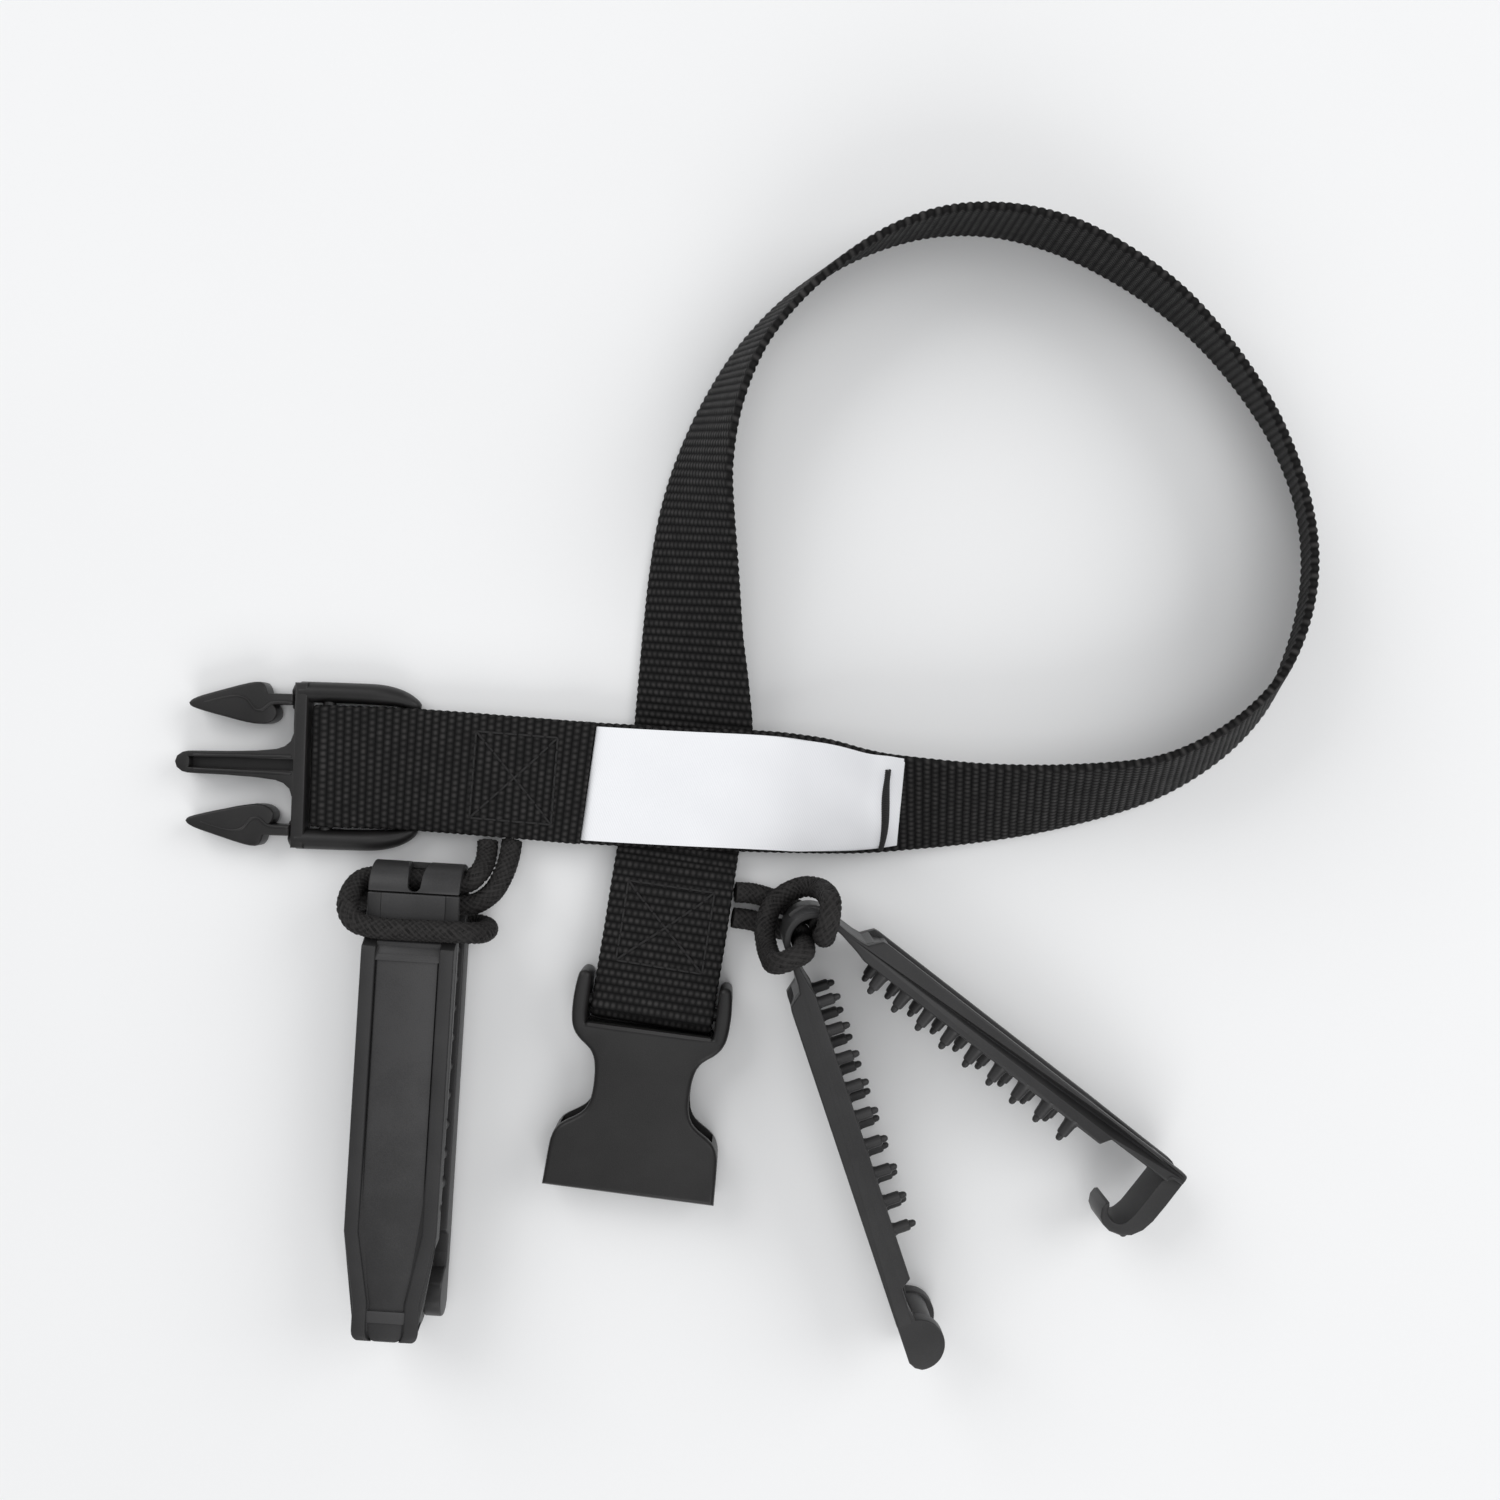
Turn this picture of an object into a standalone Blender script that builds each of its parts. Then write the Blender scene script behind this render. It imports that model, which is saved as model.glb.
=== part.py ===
"""Quick-release webbing strap with a side-release buckle and two toothed clips on cord loops.

The strap lies on the XY plane with +Z up.  Its middle stands on edge in a loop, one tail
crosses over the other, and each tail is folded round the web bar of a buckle half.  Lengths
in the tables are millimetres in the layout plane; `at()` turns them into metres in the frame.
"""
import math

import bmesh
import bpy
from mathutils import Matrix, Vector

MM = 0.001
FRAME_SHIFT = Vector((0.68, 6.69, 0.0))     # layout origin to the centre of the base, mm

WEB_WIDTH = 25.2
WEB_THICK = 1.8
GAP = 0.3                                   # clearance between touching pieces
CORD_DIAMETER = 4.2
BAR_RADIUS = 1.3
FOLD_RADIUS = BAR_RADIUS + GAP + WEB_THICK / 2

MALE_BAR = Vector((-87.3, -3.3, 3.5))
MALE_YAW = math.radians(178.1)
FEMALE_BAR = Vector((-19.9, -52.8, 5.2))
FEMALE_YAW = math.radians(-97.5)

CLIP_WIDTH = 18.4
CLIP_TIP_WIDTH = 13.3
JAW_DEPTH = 8.5                             # mid-plane to a jaw's outer face
JAW_INNER = 3.0                             # mid-plane to the flat between its teeth
TOOTH_HEIGHT = 4.6
TOOTH_PITCH = 5.94
TOOTH_COUNT = 9
BAND_OUTER = 5.9
BAND_INNER = 4.65
BAND_HALF_WIDTH = 9.1
PIN_CENTRE = (82.3, -5.4)
PIN_RADIUS = 2.0
FLANGE_RADIUS = 5.1
FLANGE_INNER = 5.6                          # mid-width to a flange's inner face
HOOK_HALF_WIDTH = 5.2
TAPER_START, TAPER_END = 67.0, 81.0         # where the hook jaw narrows

CLOSED_HINGE = Vector((-66.9, -28.5, 10.2))
CLOSED_YAW = math.radians(-93.5)
OPEN_HINGE = Vector((12.3, -37.1, 13.9))
OPEN_YAW = math.radians(-54.8)
OPEN_PITCH = math.radians(2.9)
OPEN_HALF_ANGLE = math.radians(16.8)

# The strap's outer edge from the male bar round the loop to the female bar: x, y, lean in degrees.
# A lean of 0 lies flat with the width pointing into the loop, and 90 stands on the outer edge.
EDGE_ROUTE = [
    (-87.7, -15.9, 0), (-75.4, -16.3, 0), (-62.7, -17.1, 0), (-49.0, -18.2, 0), (-35.0, -19.3, 0),
    (-17.6, -20.3, 1), (-0.4, -21.0, 4), (12.0, -21.3, 16), (24.0, -21.2, 32), (34.0, -20.4, 41),
    (48.0, -18.9, 50), (63.5, -16.2, 58), (81.5, -11.0, 67), (91.5, -6.0, 70), (100.3, 0.6, 72),
    (107.0, 8.4, 74), (111.2, 17.0, 76), (114.6, 28.0, 76), (115.8, 39.0, 75), (114.4, 51.0, 74),
    (109.6, 63.5, 75), (103.3, 73.6, 77), (95.0, 83.6, 79), (85.5, 91.9, 82), (74.5, 99.0, 84),
    (63.0, 104.4, 85), (50.5, 107.6, 84), (38.0, 107.6, 83), (26.5, 104.7, 81), (15.5, 99.4, 78),
    (5.8, 92.2, 76), (-2.6, 83.0, 74), (-9.6, 72.0, 69), (-15.0, 60.4, 61), (-18.6, 49.0, 51),
    (-20.8, 37.0, 42), (-22.2, 25.0, 34), (-23.3, 14.0, 22), (-24.3, 4.0, 8), (-25.5, -6.0, 2),
    (-27.4, -19.0, 0), (-29.3, -32.0, 0), (-30.9, -42.0, 0), (-32.4, -51.2, 0),
]

# Heights of the webbing's mid-surface at its outer edge, by distance from a bar.
MALE_LOWER = [(0, 1.0), (8, 2.0), (17, 2.95), (27, 0.95), (42, 0.95), (55, 5.4), (87, 5.4),
              (100, 4.6), (112, 3.6), (123, 2.6), (137, 1.5), (152, 0.8), (172, 0.45), (240, 0.25)]
MALE_UPPER = [(0, 6.0), (9, 5.7), (18, 5.5), (28, 6.0), (42, 6.1), (53, 7.5)]
FEMALE_LOWER = [(0, 2.7), (10, 1.5), (19, 0.95), (58, 0.95), (70, 0.9), (95, 0.7), (150, 0.25)]
FEMALE_UPPER = [(0, 7.7), (8, 7.1), (16, 6.4), (23, 6.3), (27, 5.2), (31, 3.5), (35, 3.15), (43, 3.1)]
MALE_FOLD_LENGTH = 53.0
FEMALE_FOLD_LENGTH = 43.0
EDGE_STEP = 0.5                             # spacing of the sampled edge
STATION_STEP = 3.2
FOLD_STEPS = 7

LABEL_START, LABEL_END = 54.0, 119.6        # distances from the male bar
LABEL_THICK = 0.8
MALE_STITCH_SPAN = (30.0, 44.0)
FEMALE_STITCH_SPAN = (9.5, 24.0)
STITCH_HEIGHT = 0.5
STITCH_WIDTH = 1.1

# Hitch routes in each clip's own axes (u along the clip, v across the jaws, w along the hinge).
CLOSED_STRAND_IN = [(-54.2, -18.9, 3.6), (-54.2, -21.2, 4.5), (-54.4, -23.6, 7.0), (-55.6, -25.6, 9.6)]
CLOSED_HITCH = [
    (-2.25, 0, -9.4), (-2.25, 0, 0), (-2.25, 0, 9.4), (-1.6, 1.0, 11.6), (0.6, 3.6, 12.9),
    (3.6, 6.6, 12.7), (6.0, 8.1, 10.7), (6.9, 8.3, 7), (7.0, 8.3, 0), (6.9, 8.3, -7.5),
    (7.0, 7.4, -11.4), (7.2, 4.4, -13.4), (7.3, 0, -13.9), (7.2, -4.4, -13.4), (7.0, -7.3, -11.4),
    (6.9, -8.0, -7.5), (7.0, -8.0, 0), (6.9, -8.0, 7), (6.2, -7.8, 10.7), (4.6, -5.6, 12.7),
    (3.0, -2.6, 12.7), (2.35, -0.4, 11.0), (2.25, 0, 9.0), (2.25, 0, 0), (2.25, 0, -9.4)]
CLOSED_STRAND_OUT = [(-55.6, -31.1, 10.0), (-52.4, -29.0, 9.1), (-50.4, -25.4, 7.2), (-49.5, -21.8, 4.8),
                     (-49.2, -18.9, 3.6)]
OPEN_STRAND_IN = [(-3.0, -29.4, 3.6), (0.5, -29.7, 2.9), (4.5, -30.9, 2.3), (8.3, -32.6, 2.3),
                  (11.8, -33.9, 2.7), (13.9, -34.8, 4.2)]
OPEN_HITCH = [
    (0, 2.4, -7.0), (0, 2.3, 0), (0, 2.25, 9.6), (-0.9, 3.0, 12.0), (-2.6, 4.9, 12.8),
    (-4.7, 6.9, 11.2), (-5.6, 7.3, 7.5), (-5.7, 7.2, 2), (-6.4, 6.6, -3), (-8.0, 4.3, -6.0),
    (-8.9, 0.6, -6.9), (-8.5, -3.2, -6.6), (-6.3, -6.7, -4.6), (-3.3, -8.6, -1.0), (-1.6, -9.0, 4),
    (-1.3, -8.7, 9), (-1.0, -7.1, 12.1), (-0.5, -4.7, 12.7), (-0.1, -2.8, 11.4), (-0.4, -2.15, 8),
    (-0.5, -2.1, 0), (-0.4, -2.0, -8.2)]
OPEN_STRAND_OUT = [(10.2, -37.8, 3.6), (8.4, -37.6, 2.2), (4.2, -36.6, 2.3), (0.5, -35.3, 2.9),
                   (-3.6, -34.6, 3.6)]
CORD_POINTS = 46

COLOURS = {                                  # base colour, roughness
    "webbing_black": ((0.018, 0.018, 0.020), 0.85),
    "cord_black": ((0.016, 0.016, 0.017), 0.80),
    "thread_black": ((0.012, 0.012, 0.013), 0.70),
    "label_white": ((0.86, 0.86, 0.88), 0.45),
    "buckle_black": ((0.020, 0.020, 0.021), 0.38),
    "clip_charcoal": ((0.045, 0.046, 0.050), 0.42),
}


# ---------------------------------------------------------------- helpers

def clear_scene():
    for item in list(bpy.data.objects):
        bpy.data.objects.remove(item, do_unlink=True)


def at(x, y, z=0.0):
    """A layout point in millimetres, as metres in the part's frame."""
    return (Vector((x, y, z)) + FRAME_SHIFT) * MM


def material(slot):
    found = bpy.data.materials.get(slot)
    if found:
        return found
    colour, roughness = COLOURS[slot]
    made = bpy.data.materials.new(slot)
    made.use_nodes = True
    shader = made.node_tree.nodes["Principled BSDF"]
    shader.inputs["Base Color"].default_value = (*colour, 1.0)
    shader.inputs["Roughness"].default_value = roughness
    shader.inputs["Metallic"].default_value = 0.0
    return made


def add_object(name, data, slot=None, parent=None):
    item = bpy.data.objects.new(name, data)
    bpy.context.collection.objects.link(item)
    if slot:
        data.materials.append(material(slot))
    if parent:
        item.parent = parent
    return item


def add_empty(name, matrix, parent=None):
    item = bpy.data.objects.new(name, None)
    bpy.context.collection.objects.link(item)
    item.empty_display_size = 0.01
    item.parent = parent
    item.matrix_basis = matrix
    return item


def finish_mesh(name, work, smooth_angle=35.0):
    bmesh.ops.recalc_face_normals(work, faces=work.faces)
    mesh = bpy.data.meshes.new(name)
    work.to_mesh(mesh)
    work.free()
    mesh.shade_smooth()
    mesh.set_sharp_from_angle(angle=math.radians(smooth_angle))
    return mesh


def loft(name, rings):
    """A closed skin through rings of equal length, capped at both ends."""
    work = bmesh.new()
    rows = [[work.verts.new(point) for point in ring] for ring in rings]
    count = len(rows[0])
    for row, following in zip(rows, rows[1:]):
        for i in range(count):
            j = (i + 1) % count
            work.faces.new((row[i], row[j], following[j], following[i]))
    work.faces.new(rows[0])
    work.faces.new(rows[-1])
    bmesh.ops.triangulate(work, faces=[f for f in work.faces if len(f.verts) > 4])
    return finish_mesh(name, work)


def prism(name, outline, low, high):
    """An outline in millimetres extruded between two heights (numbers, or functions of u)."""
    rings = []
    for level in (low, high):
        ring = []
        for a, b in outline:
            c = level(a) if callable(level) else level
            ring.append(Vector((a, b, c)) * MM)
        rings.append(ring)
    return loft(name, rings)


def cutter(name, data, parent=None):
    tool = add_object(name, data, parent=parent)
    tool.hide_render = True
    tool.display_type = "WIRE"
    return tool


def combine(target, tool, operation):
    step = target.modifiers.new(tool.name, "BOOLEAN")
    step.operation = operation
    step.object = tool
    step.solver = "EXACT"


def box_mesh(name, low, high):
    outline = [(low[0], low[1]), (high[0], low[1]), (high[0], high[1]), (low[0], high[1])]
    return prism(name, outline, low[2], high[2])


def arc(centre, radius, first, last, steps):
    """Points on an arc, angles in degrees."""
    points = []
    for i in range(steps + 1):
        angle = math.radians(first + (last - first) * i / steps)
        points.append((centre[0] + radius * math.cos(angle), centre[1] + radius * math.sin(angle)))
    return points


def ramp(table, x):
    """Smooth steps between the table's (x, value) pairs."""
    if x <= table[0][0]:
        return table[0][1]
    for (x0, y0), (x1, y1) in zip(table, table[1:]):
        if x <= x1:
            t = (x - x0) / (x1 - x0)
            return y0 + (y1 - y0) * t * t * (3 - 2 * t)
    return table[-1][1]


def curve_point(before, start, end, after, t):
    """A centripetal Catmull-Rom curve from start to end, which doesn't overshoot short spans."""
    knots = [0.0]
    for one, two in ((before, start), (start, end), (end, after)):
        knots.append(knots[-1] + max(math.sqrt((two - one).length), 1e-6))
    x = knots[1] + (knots[2] - knots[1]) * t
    first = [one.lerp(two, (x - knots[i]) / (knots[i + 1] - knots[i]))
             for i, (one, two) in enumerate(((before, start), (start, end), (end, after)))]
    second = [first[i].lerp(first[i + 1], (x - knots[i]) / (knots[i + 2] - knots[i])) for i in range(2)]
    return second[0].lerp(second[1], t)


def spline(points, step):
    """Points about a step apart on a smooth curve through the given ones (any dimension)."""
    points = [Vector(p) for p in points]
    dense = []
    for i in range(len(points) - 1):
        start, end = points[i], points[i + 1]
        before = points[i - 1] if i else start * 2 - end
        after = points[i + 2] if i + 2 < len(points) else end * 2 - start
        dense += [curve_point(before, start, end, after, k / 16) for k in range(16)]
    dense.append(points[-1])
    reach = [0.0]
    for one, two in zip(dense, dense[1:]):
        reach.append(reach[-1] + (two - one).length)
    count = max(2, round(reach[-1] / step))
    result, k = [], 0
    for i in range(count + 1):
        goal = reach[-1] * i / count
        while k < len(reach) - 2 and reach[k + 1] < goal:
            k += 1
        t = (goal - reach[k]) / max(reach[k + 1] - reach[k], 1e-9)
        result.append(dense[k].lerp(dense[k + 1], min(max(t, 0.0), 1.0)))
    return result


# ---------------------------------------------------------------- strap

class Edge:
    """The strap's outer edge in plan, by distance from the male bar."""

    def __init__(self):
        self.points = []
        self.reach = [0.0]
        for point in spline(EDGE_ROUTE, EDGE_STEP):
            if self.points:
                gone = (Vector(point[:2]) - Vector(self.points[-1][:2])).length
                self.reach.append(self.reach[-1] + gone)
            self.points.append(point)
        self.length = self.reach[-1]

    def sample(self, q):
        inside = min(max(q, 0.0), self.length)
        low, high = 0, len(self.reach) - 2
        while low < high:
            k = (low + high + 1) // 2
            if self.reach[k] <= inside:
                low = k
            else:
                high = k - 1
        k = low
        t = (inside - self.reach[k]) / (self.reach[k + 1] - self.reach[k])
        point = self.points[k].lerp(self.points[k + 1], t)
        first, last = self.points[max(k - 4, 0)], self.points[min(k + 5, len(self.points) - 1)]
        heading = Vector((last[0] - first[0], last[1] - first[1], 0)).normalized()
        place = Vector((point[0], point[1], 0)) + heading * (q - inside)
        return place, heading, math.radians(max(point[2], 0.0))


EDGE = Edge()


def lower_height(q):
    return ramp(MALE_LOWER, q) if q < EDGE.length - 150 else ramp(FEMALE_LOWER, EDGE.length - q)


def station(q, z):
    """Edge point and width direction where the webbing's mid-surface is at height z."""
    place, heading, lean = EDGE.sample(q)
    inward = Vector((-heading.y, heading.x, 0))
    across = inward * math.cos(lean) + Vector((0, 0, math.sin(lean)))
    clear = WEB_THICK / 2 * math.cos(lean)
    return place + Vector((0, 0, max(z, clear))), across


def steps_between(first, last, step):
    count = max(1, round(abs(last - first) / step))
    return [first + (last - first) * i / count for i in range(count + 1)]


def strap_stations():
    """The whole strap from the male tail's cut end to the female tail's cut end."""
    rows = [station(q, ramp(MALE_UPPER, q)) for q in steps_between(MALE_FOLD_LENGTH, 0, STATION_STEP)]
    for i in range(1, FOLD_STEPS):
        turn = math.pi * i / FOLD_STEPS
        rows.append(station(-FOLD_RADIUS * math.sin(turn), MALE_BAR.z + FOLD_RADIUS * math.cos(turn)))
    rows += [station(q, lower_height(q)) for q in steps_between(0, EDGE.length, STATION_STEP)]
    for i in range(1, FOLD_STEPS):
        turn = math.pi * i / FOLD_STEPS
        rows.append(station(EDGE.length + FOLD_RADIUS * math.sin(turn),
                            FEMALE_BAR.z - FOLD_RADIUS * math.cos(turn)))
    rows += [station(EDGE.length - e, ramp(FEMALE_UPPER, e))
             for e in steps_between(0, FEMALE_FOLD_LENGTH, STATION_STEP)]
    return rows


def ribbon(name, rows, near, far, low, high):
    """A strip along the stations, from near to far across the width and low to high off it."""
    rings = []
    for i, (edge, across) in enumerate(rows):
        before, after = rows[max(i - 1, 0)][0], rows[min(i + 1, len(rows) - 1)][0]
        normal = (after - before).cross(across).normalized()
        rings.append([at(*(edge + across * a + normal * b))
                      for a, b in ((near, low), (far, low), (far, high), (near, high))])
    return loft(name, rings)


def make_webbing():
    half = WEB_THICK / 2
    add_object("strap_webbing", ribbon("strap_webbing", strap_stations(), 0, WEB_WIDTH, -half, half),
               "webbing_black")


def make_label():
    rows = [station(q, lower_height(q)) for q in steps_between(LABEL_START, LABEL_END, 3.0)]
    base = WEB_THICK / 2 + GAP
    add_object("care_label", ribbon("care_label", rows, 0.7, 24.5, base, base + LABEL_THICK),
               "label_white")
    rows = [station(q, lower_height(q)) for q in steps_between(LABEL_END - 3.2, LABEL_END - 2.0, 0.6)]
    base += LABEL_THICK + GAP
    add_object("label_stitch", ribbon("label_stitch", rows, 1.2, 24.0, base, base + STITCH_HEIGHT),
               "thread_black")


def box_and_cross(near, far):
    """Flat faces of a sewn box with a cross: a frame, four diagonal runs and the middle."""
    (q0, a0), (q1, a1) = near, far
    corners = [Vector(p) for p in ((q0, a0), (q1, a0), (q1, a1), (q0, a1))]
    middle = (corners[0] + corners[2]) / 2
    inset = [Vector((p.x - math.copysign(STITCH_WIDTH, p.x - middle.x),
                     p.y - math.copysign(STITCH_WIDTH, p.y - middle.y))) for p in corners]
    faces, first, second, inner = [], [], [], []
    for k in range(4):
        start, end = inset[k], inset[(k + 1) % 4]
        along = (end - start).normalized() * STITCH_WIDTH * 1.3
        side = ((start + end) / 2 - middle).normalized() * STITCH_WIDTH * 1.1
        first.append(start + along)
        second.append(end - along)
        inner.append(middle + side)
    for k in range(4):
        j = (k + 1) % 4
        faces.append((corners[k], corners[j], second[k], first[k]))
        faces.append((corners[j], first[j], second[k]))
        faces.append((second[k], first[j], inner[j], inner[k]))
    faces.append(tuple(inner))
    return faces


def make_box_stitch(name, span, surface):
    """A sewn box with a cross, lying on the folded-back layer of one tail."""
    base = WEB_THICK / 2 + GAP
    work = bmesh.new()
    for face in box_and_cross((span[0], 4.0), (span[1], 21.0)):
        work.faces.new([work.verts.new((p.x, p.y, base)) for p in face])
    bmesh.ops.remove_doubles(work, verts=work.verts, dist=0.001)
    bmesh.ops.subdivide_edges(work, edges=work.edges, cuts=3, use_grid_fill=True)
    bmesh.ops.triangulate(work, faces=work.faces)
    raised = bmesh.ops.extrude_face_region(work, geom=list(work.faces), use_keep_orig=True)
    for item in raised["geom"]:
        if isinstance(item, bmesh.types.BMVert):
            item.co.z = base + STITCH_HEIGHT
    for vert in work.verts:
        edge, across = surface(vert.co.x)
        ahead, _ = surface(vert.co.x + 0.5)
        normal = (ahead - edge).cross(across).normalized()
        vert.co = at(*(edge + across * vert.co.y + normal * vert.co.z))
    add_object(name, finish_mesh(name, work), "thread_black")


def make_stitching():
    make_box_stitch("male_end_box_stitch", MALE_STITCH_SPAN,
                    lambda q: station(q, ramp(MALE_UPPER, q)))
    make_box_stitch("female_end_box_stitch",
                    (EDGE.length - FEMALE_STITCH_SPAN[1], EDGE.length - FEMALE_STITCH_SPAN[0]),
                    lambda q: station(q, ramp(FEMALE_UPPER, EDGE.length - q)))


# ---------------------------------------------------------------- buckle

def buckle_frame(name, bar, yaw):
    """Axes on a web bar: +X towards the mouth or the prongs, +Y along the bar, +Z up."""
    return add_empty(name, Matrix.Translation(at(*bar)) @ Matrix.Rotation(yaw, 4, "Z"))


def web_bar(name, parent, half_length):
    bar = cutter(name, loft(name, [[Vector((x, y, z)) * MM for x, z in arc((0, 0), BAR_RADIUS, 0, 337.5, 15)]
                                   for y in (-half_length, half_length)]), parent)
    return bar


def make_male_buckle():
    axes = buckle_frame("male_bar_axis", MALE_BAR, MALE_YAW)
    half = 3.0
    outer, inner = 17.2, 13.1
    frame_outline = [
        (-18.8, outer - 2.6), (-16.5, outer - 0.8), (-12.0, outer), (5.0, outer), (6.6, outer - 1.4),
        (6.6, 5.2), (7.6, 4.0), (10.0, 3.1), (14.0, 2.6), (27.0, 2.3), (29.6, 1.8), (30.7, 0.8)]
    frame_outline += [(u, -v) for u, v in reversed(frame_outline)]
    frame_outline += [(-18.8, -inner), (3.7, -inner), (3.7, inner), (-18.8, inner)]
    frame = add_object("male_buckle_frame", prism("male_buckle_frame", frame_outline, -half, half),
                       "buckle_black", axes)
    combine(frame, web_bar("male_web_bar", axes, inner + 1.5), "UNION")
    end_bar = box_mesh("male_end_bar", (-18.6, -inner - 1.5, -half), (-15.6, inner + 1.5, -half + 1.2))
    combine(frame, cutter("male_end_bar", end_bar, axes), "UNION")
    groove = box_mesh("prong_groove", (5.0, -1.0, half - 1.2), (28.0, 1.0, half + 1.0))
    combine(frame, cutter("prong_groove", groove, axes), "DIFFERENCE")

    arm_outline = [
        (6.9, 12.3), (6.9, 14.6), (12.2, 14.6), (12.6, 16.2), (13.6, 16.9), (17.0, 16.3), (22.0, 14.9),
        (26.4, 13.6), (28.2, 12.6), (28.0, 11.6), (26.4, 10.8), (20.0, 9.3), (14.0, 8.3), (11.2, 8.3),
        (10.1, 9.4), (10.5, 11.2), (9.6, 12.3)]
    for side, name in ((1, "latch_arm_lower"), (-1, "latch_arm_upper")):
        root = add_empty(f"{name}_axis", Matrix.Translation(Vector((6.9, side * 13.45, 0)) * MM), axes)
        outline = [(u - 6.9, side * (v - 13.45)) for u, v in arm_outline]
        add_object(name, prism(name, outline, -2.6, 2.6), "buckle_black", root)


def make_female_buckle():
    axes = buckle_frame("female_bar_axis", FEMALE_BAR, FEMALE_YAW)
    half = 5.1
    side = [(-6.4, 13.4), (-6.2, 14.4), (-4.5, 15.6), (-1.0, 16.1), (3.0, 15.4), (6.6, 12.0), (9.0, 10.1),
            (12.0, 9.8), (16.0, 10.0), (19.0, 11.4), (22.0, 14.2), (25.0, 16.6), (28.5, 17.6), (37.8, 17.9)]
    outline = side + [(u, -v) for u, v in reversed(side)]
    outline += [(-6.4, -13.1), (4.3, -13.1), (4.3, 13.1), (-6.4, 13.1)]
    body = add_object("female_buckle_body", prism("female_buckle_body", outline, -half, half),
                      "buckle_black", axes)
    combine(body, web_bar("female_web_bar", axes, 14.6), "UNION")
    socket = box_mesh("female_socket", (8.0, -15.6, -3.3), (40.0, 15.6, 3.3))
    combine(body, cutter("female_socket", socket, axes), "DIFFERENCE")


# ---------------------------------------------------------------- clips

def hook_half_width(u):
    """Half the hook jaw's width, narrowing towards the latch end."""
    t = min(max((u - TAPER_START) / (TAPER_END - TAPER_START), 0.0), 1.0)
    return (CLIP_WIDTH + (CLIP_TIP_WIDTH - CLIP_WIDTH) * t) / 2


def jaw_outline(first_tooth, tip):
    """A jaw's side view with its outer face at +v; tip closes the latch end."""
    outer = [(0.15, 5.85), (3.5, 5.6), (7.0, 5.65), (9.3, 6.1), (11.0, 7.5), (13.0, 7.8), (13.5, JAW_DEPTH),
             (TAPER_START, JAW_DEPTH)]
    inner = []
    for i in reversed(range(TOOTH_COUNT)):
        u = first_tooth + TOOTH_PITCH * i
        inner += [(u + 1.9, JAW_INNER), (u + 0.45, JAW_INNER - TOOTH_HEIGHT),
                  (u - 0.45, JAW_INNER - TOOTH_HEIGHT), (u - 1.9, JAW_INNER)]
    root = [(7.6, 3.5), (3.5, 4.3), (0.15, BAND_INNER)]
    return outer + tip + [(70.0, 5.1), (TAPER_START, JAW_INNER)] + inner + root


def make_jaw(name, outline, low, high, parent):
    return add_object(name, prism(name, outline, low, high), "clip_charcoal", parent)


def make_band(name, parent, half_angle):
    """The curved spring that joins the two jaws, with a slot at the middle of its width."""
    trim = math.degrees(half_angle) + 1.6
    outline = arc((0, 0), BAND_OUTER, 90 + trim, 270 - trim, 16)
    outline += arc((0, 0), BAND_INNER, 270 - trim, 90 + trim, 16)
    band = add_object(name, prism(name, outline, -BAND_HALF_WIDTH, BAND_HALF_WIDTH), "clip_charcoal", parent)
    slot = cutter(f"{name}_slot", box_mesh(f"{name}_slot", (-7.0, -2.0, -1.2), (-2.6, 7.0, 1.2)), parent)
    combine(band, slot, "DIFFERENCE")


def make_pin_jaw(name, parent):
    """The jaw that carries the latch pin between two rounded end plates."""
    half = CLIP_WIDTH / 2
    outline = [(u, -v) for u, v in jaw_outline(11.8, [(77.6, JAW_DEPTH), (77.6, 5.1)])]
    jaw = make_jaw(name, outline, -half, half, parent)
    flange = [(74.0, -8.2), (85.2, -8.2), (86.5, -7.5)]
    flange += arc(PIN_CENTRE, FLANGE_RADIUS, -12, 172, 14) + [(74.0, -5.3)]
    for side, label in ((1, "upper"), (-1, "lower")):
        ends = sorted((side * FLANGE_INNER, side * (half - 0.3)))
        tool = cutter(f"{name}_{label}_flange", prism(f"{name}_{label}_flange", flange, *ends), parent)
        combine(jaw, tool, "UNION")
    shape = arc(PIN_CENTRE, PIN_RADIUS, 0, 340, 17)
    reach = FLANGE_INNER + 1.0
    combine(jaw, cutter(f"{name}_pin", prism(f"{name}_pin", shape, -reach, reach), parent), "UNION")


def make_hook_jaw(name, parent):
    tip = [(TAPER_END, JAW_DEPTH), (84.0, JAW_DEPTH - 0.2), (85.4, JAW_DEPTH - 1.2), (85.5, 5.1)]
    make_jaw(name, jaw_outline(14.8, tip), lambda u: -hook_half_width(u), hook_half_width, parent)


def make_hook(name, parent):
    """The latch plate at the end of the hook jaw, curled under the other jaw's pin."""
    root = (87.3, 6.8)
    outline = [(85.8, 8.1), (88.2, 8.1), (88.9, 7.4), (88.9, 1.0), (88.5, -3.0), (87.2, -6.4), (84.8, -8.8),
               (82.2, -9.6), (80.6, -9.2), (80.0, -8.2), (80.5, -7.4)]
    outline += arc(PIN_CENTRE, PIN_RADIUS + GAP + 0.1, -95, 10, 8)
    outline += [(85.6, -0.8), (85.8, 1.0)]
    axis = add_empty(f"{name}_axis", Matrix.Translation(Vector((root[0], root[1], 0)) * MM), parent)
    shape = [(u - root[0], v - root[1]) for u, v in outline]
    add_object(name, prism(name, shape, -HOOK_HALF_WIDTH, HOOK_HALF_WIDTH), "clip_charcoal", axis)


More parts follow.
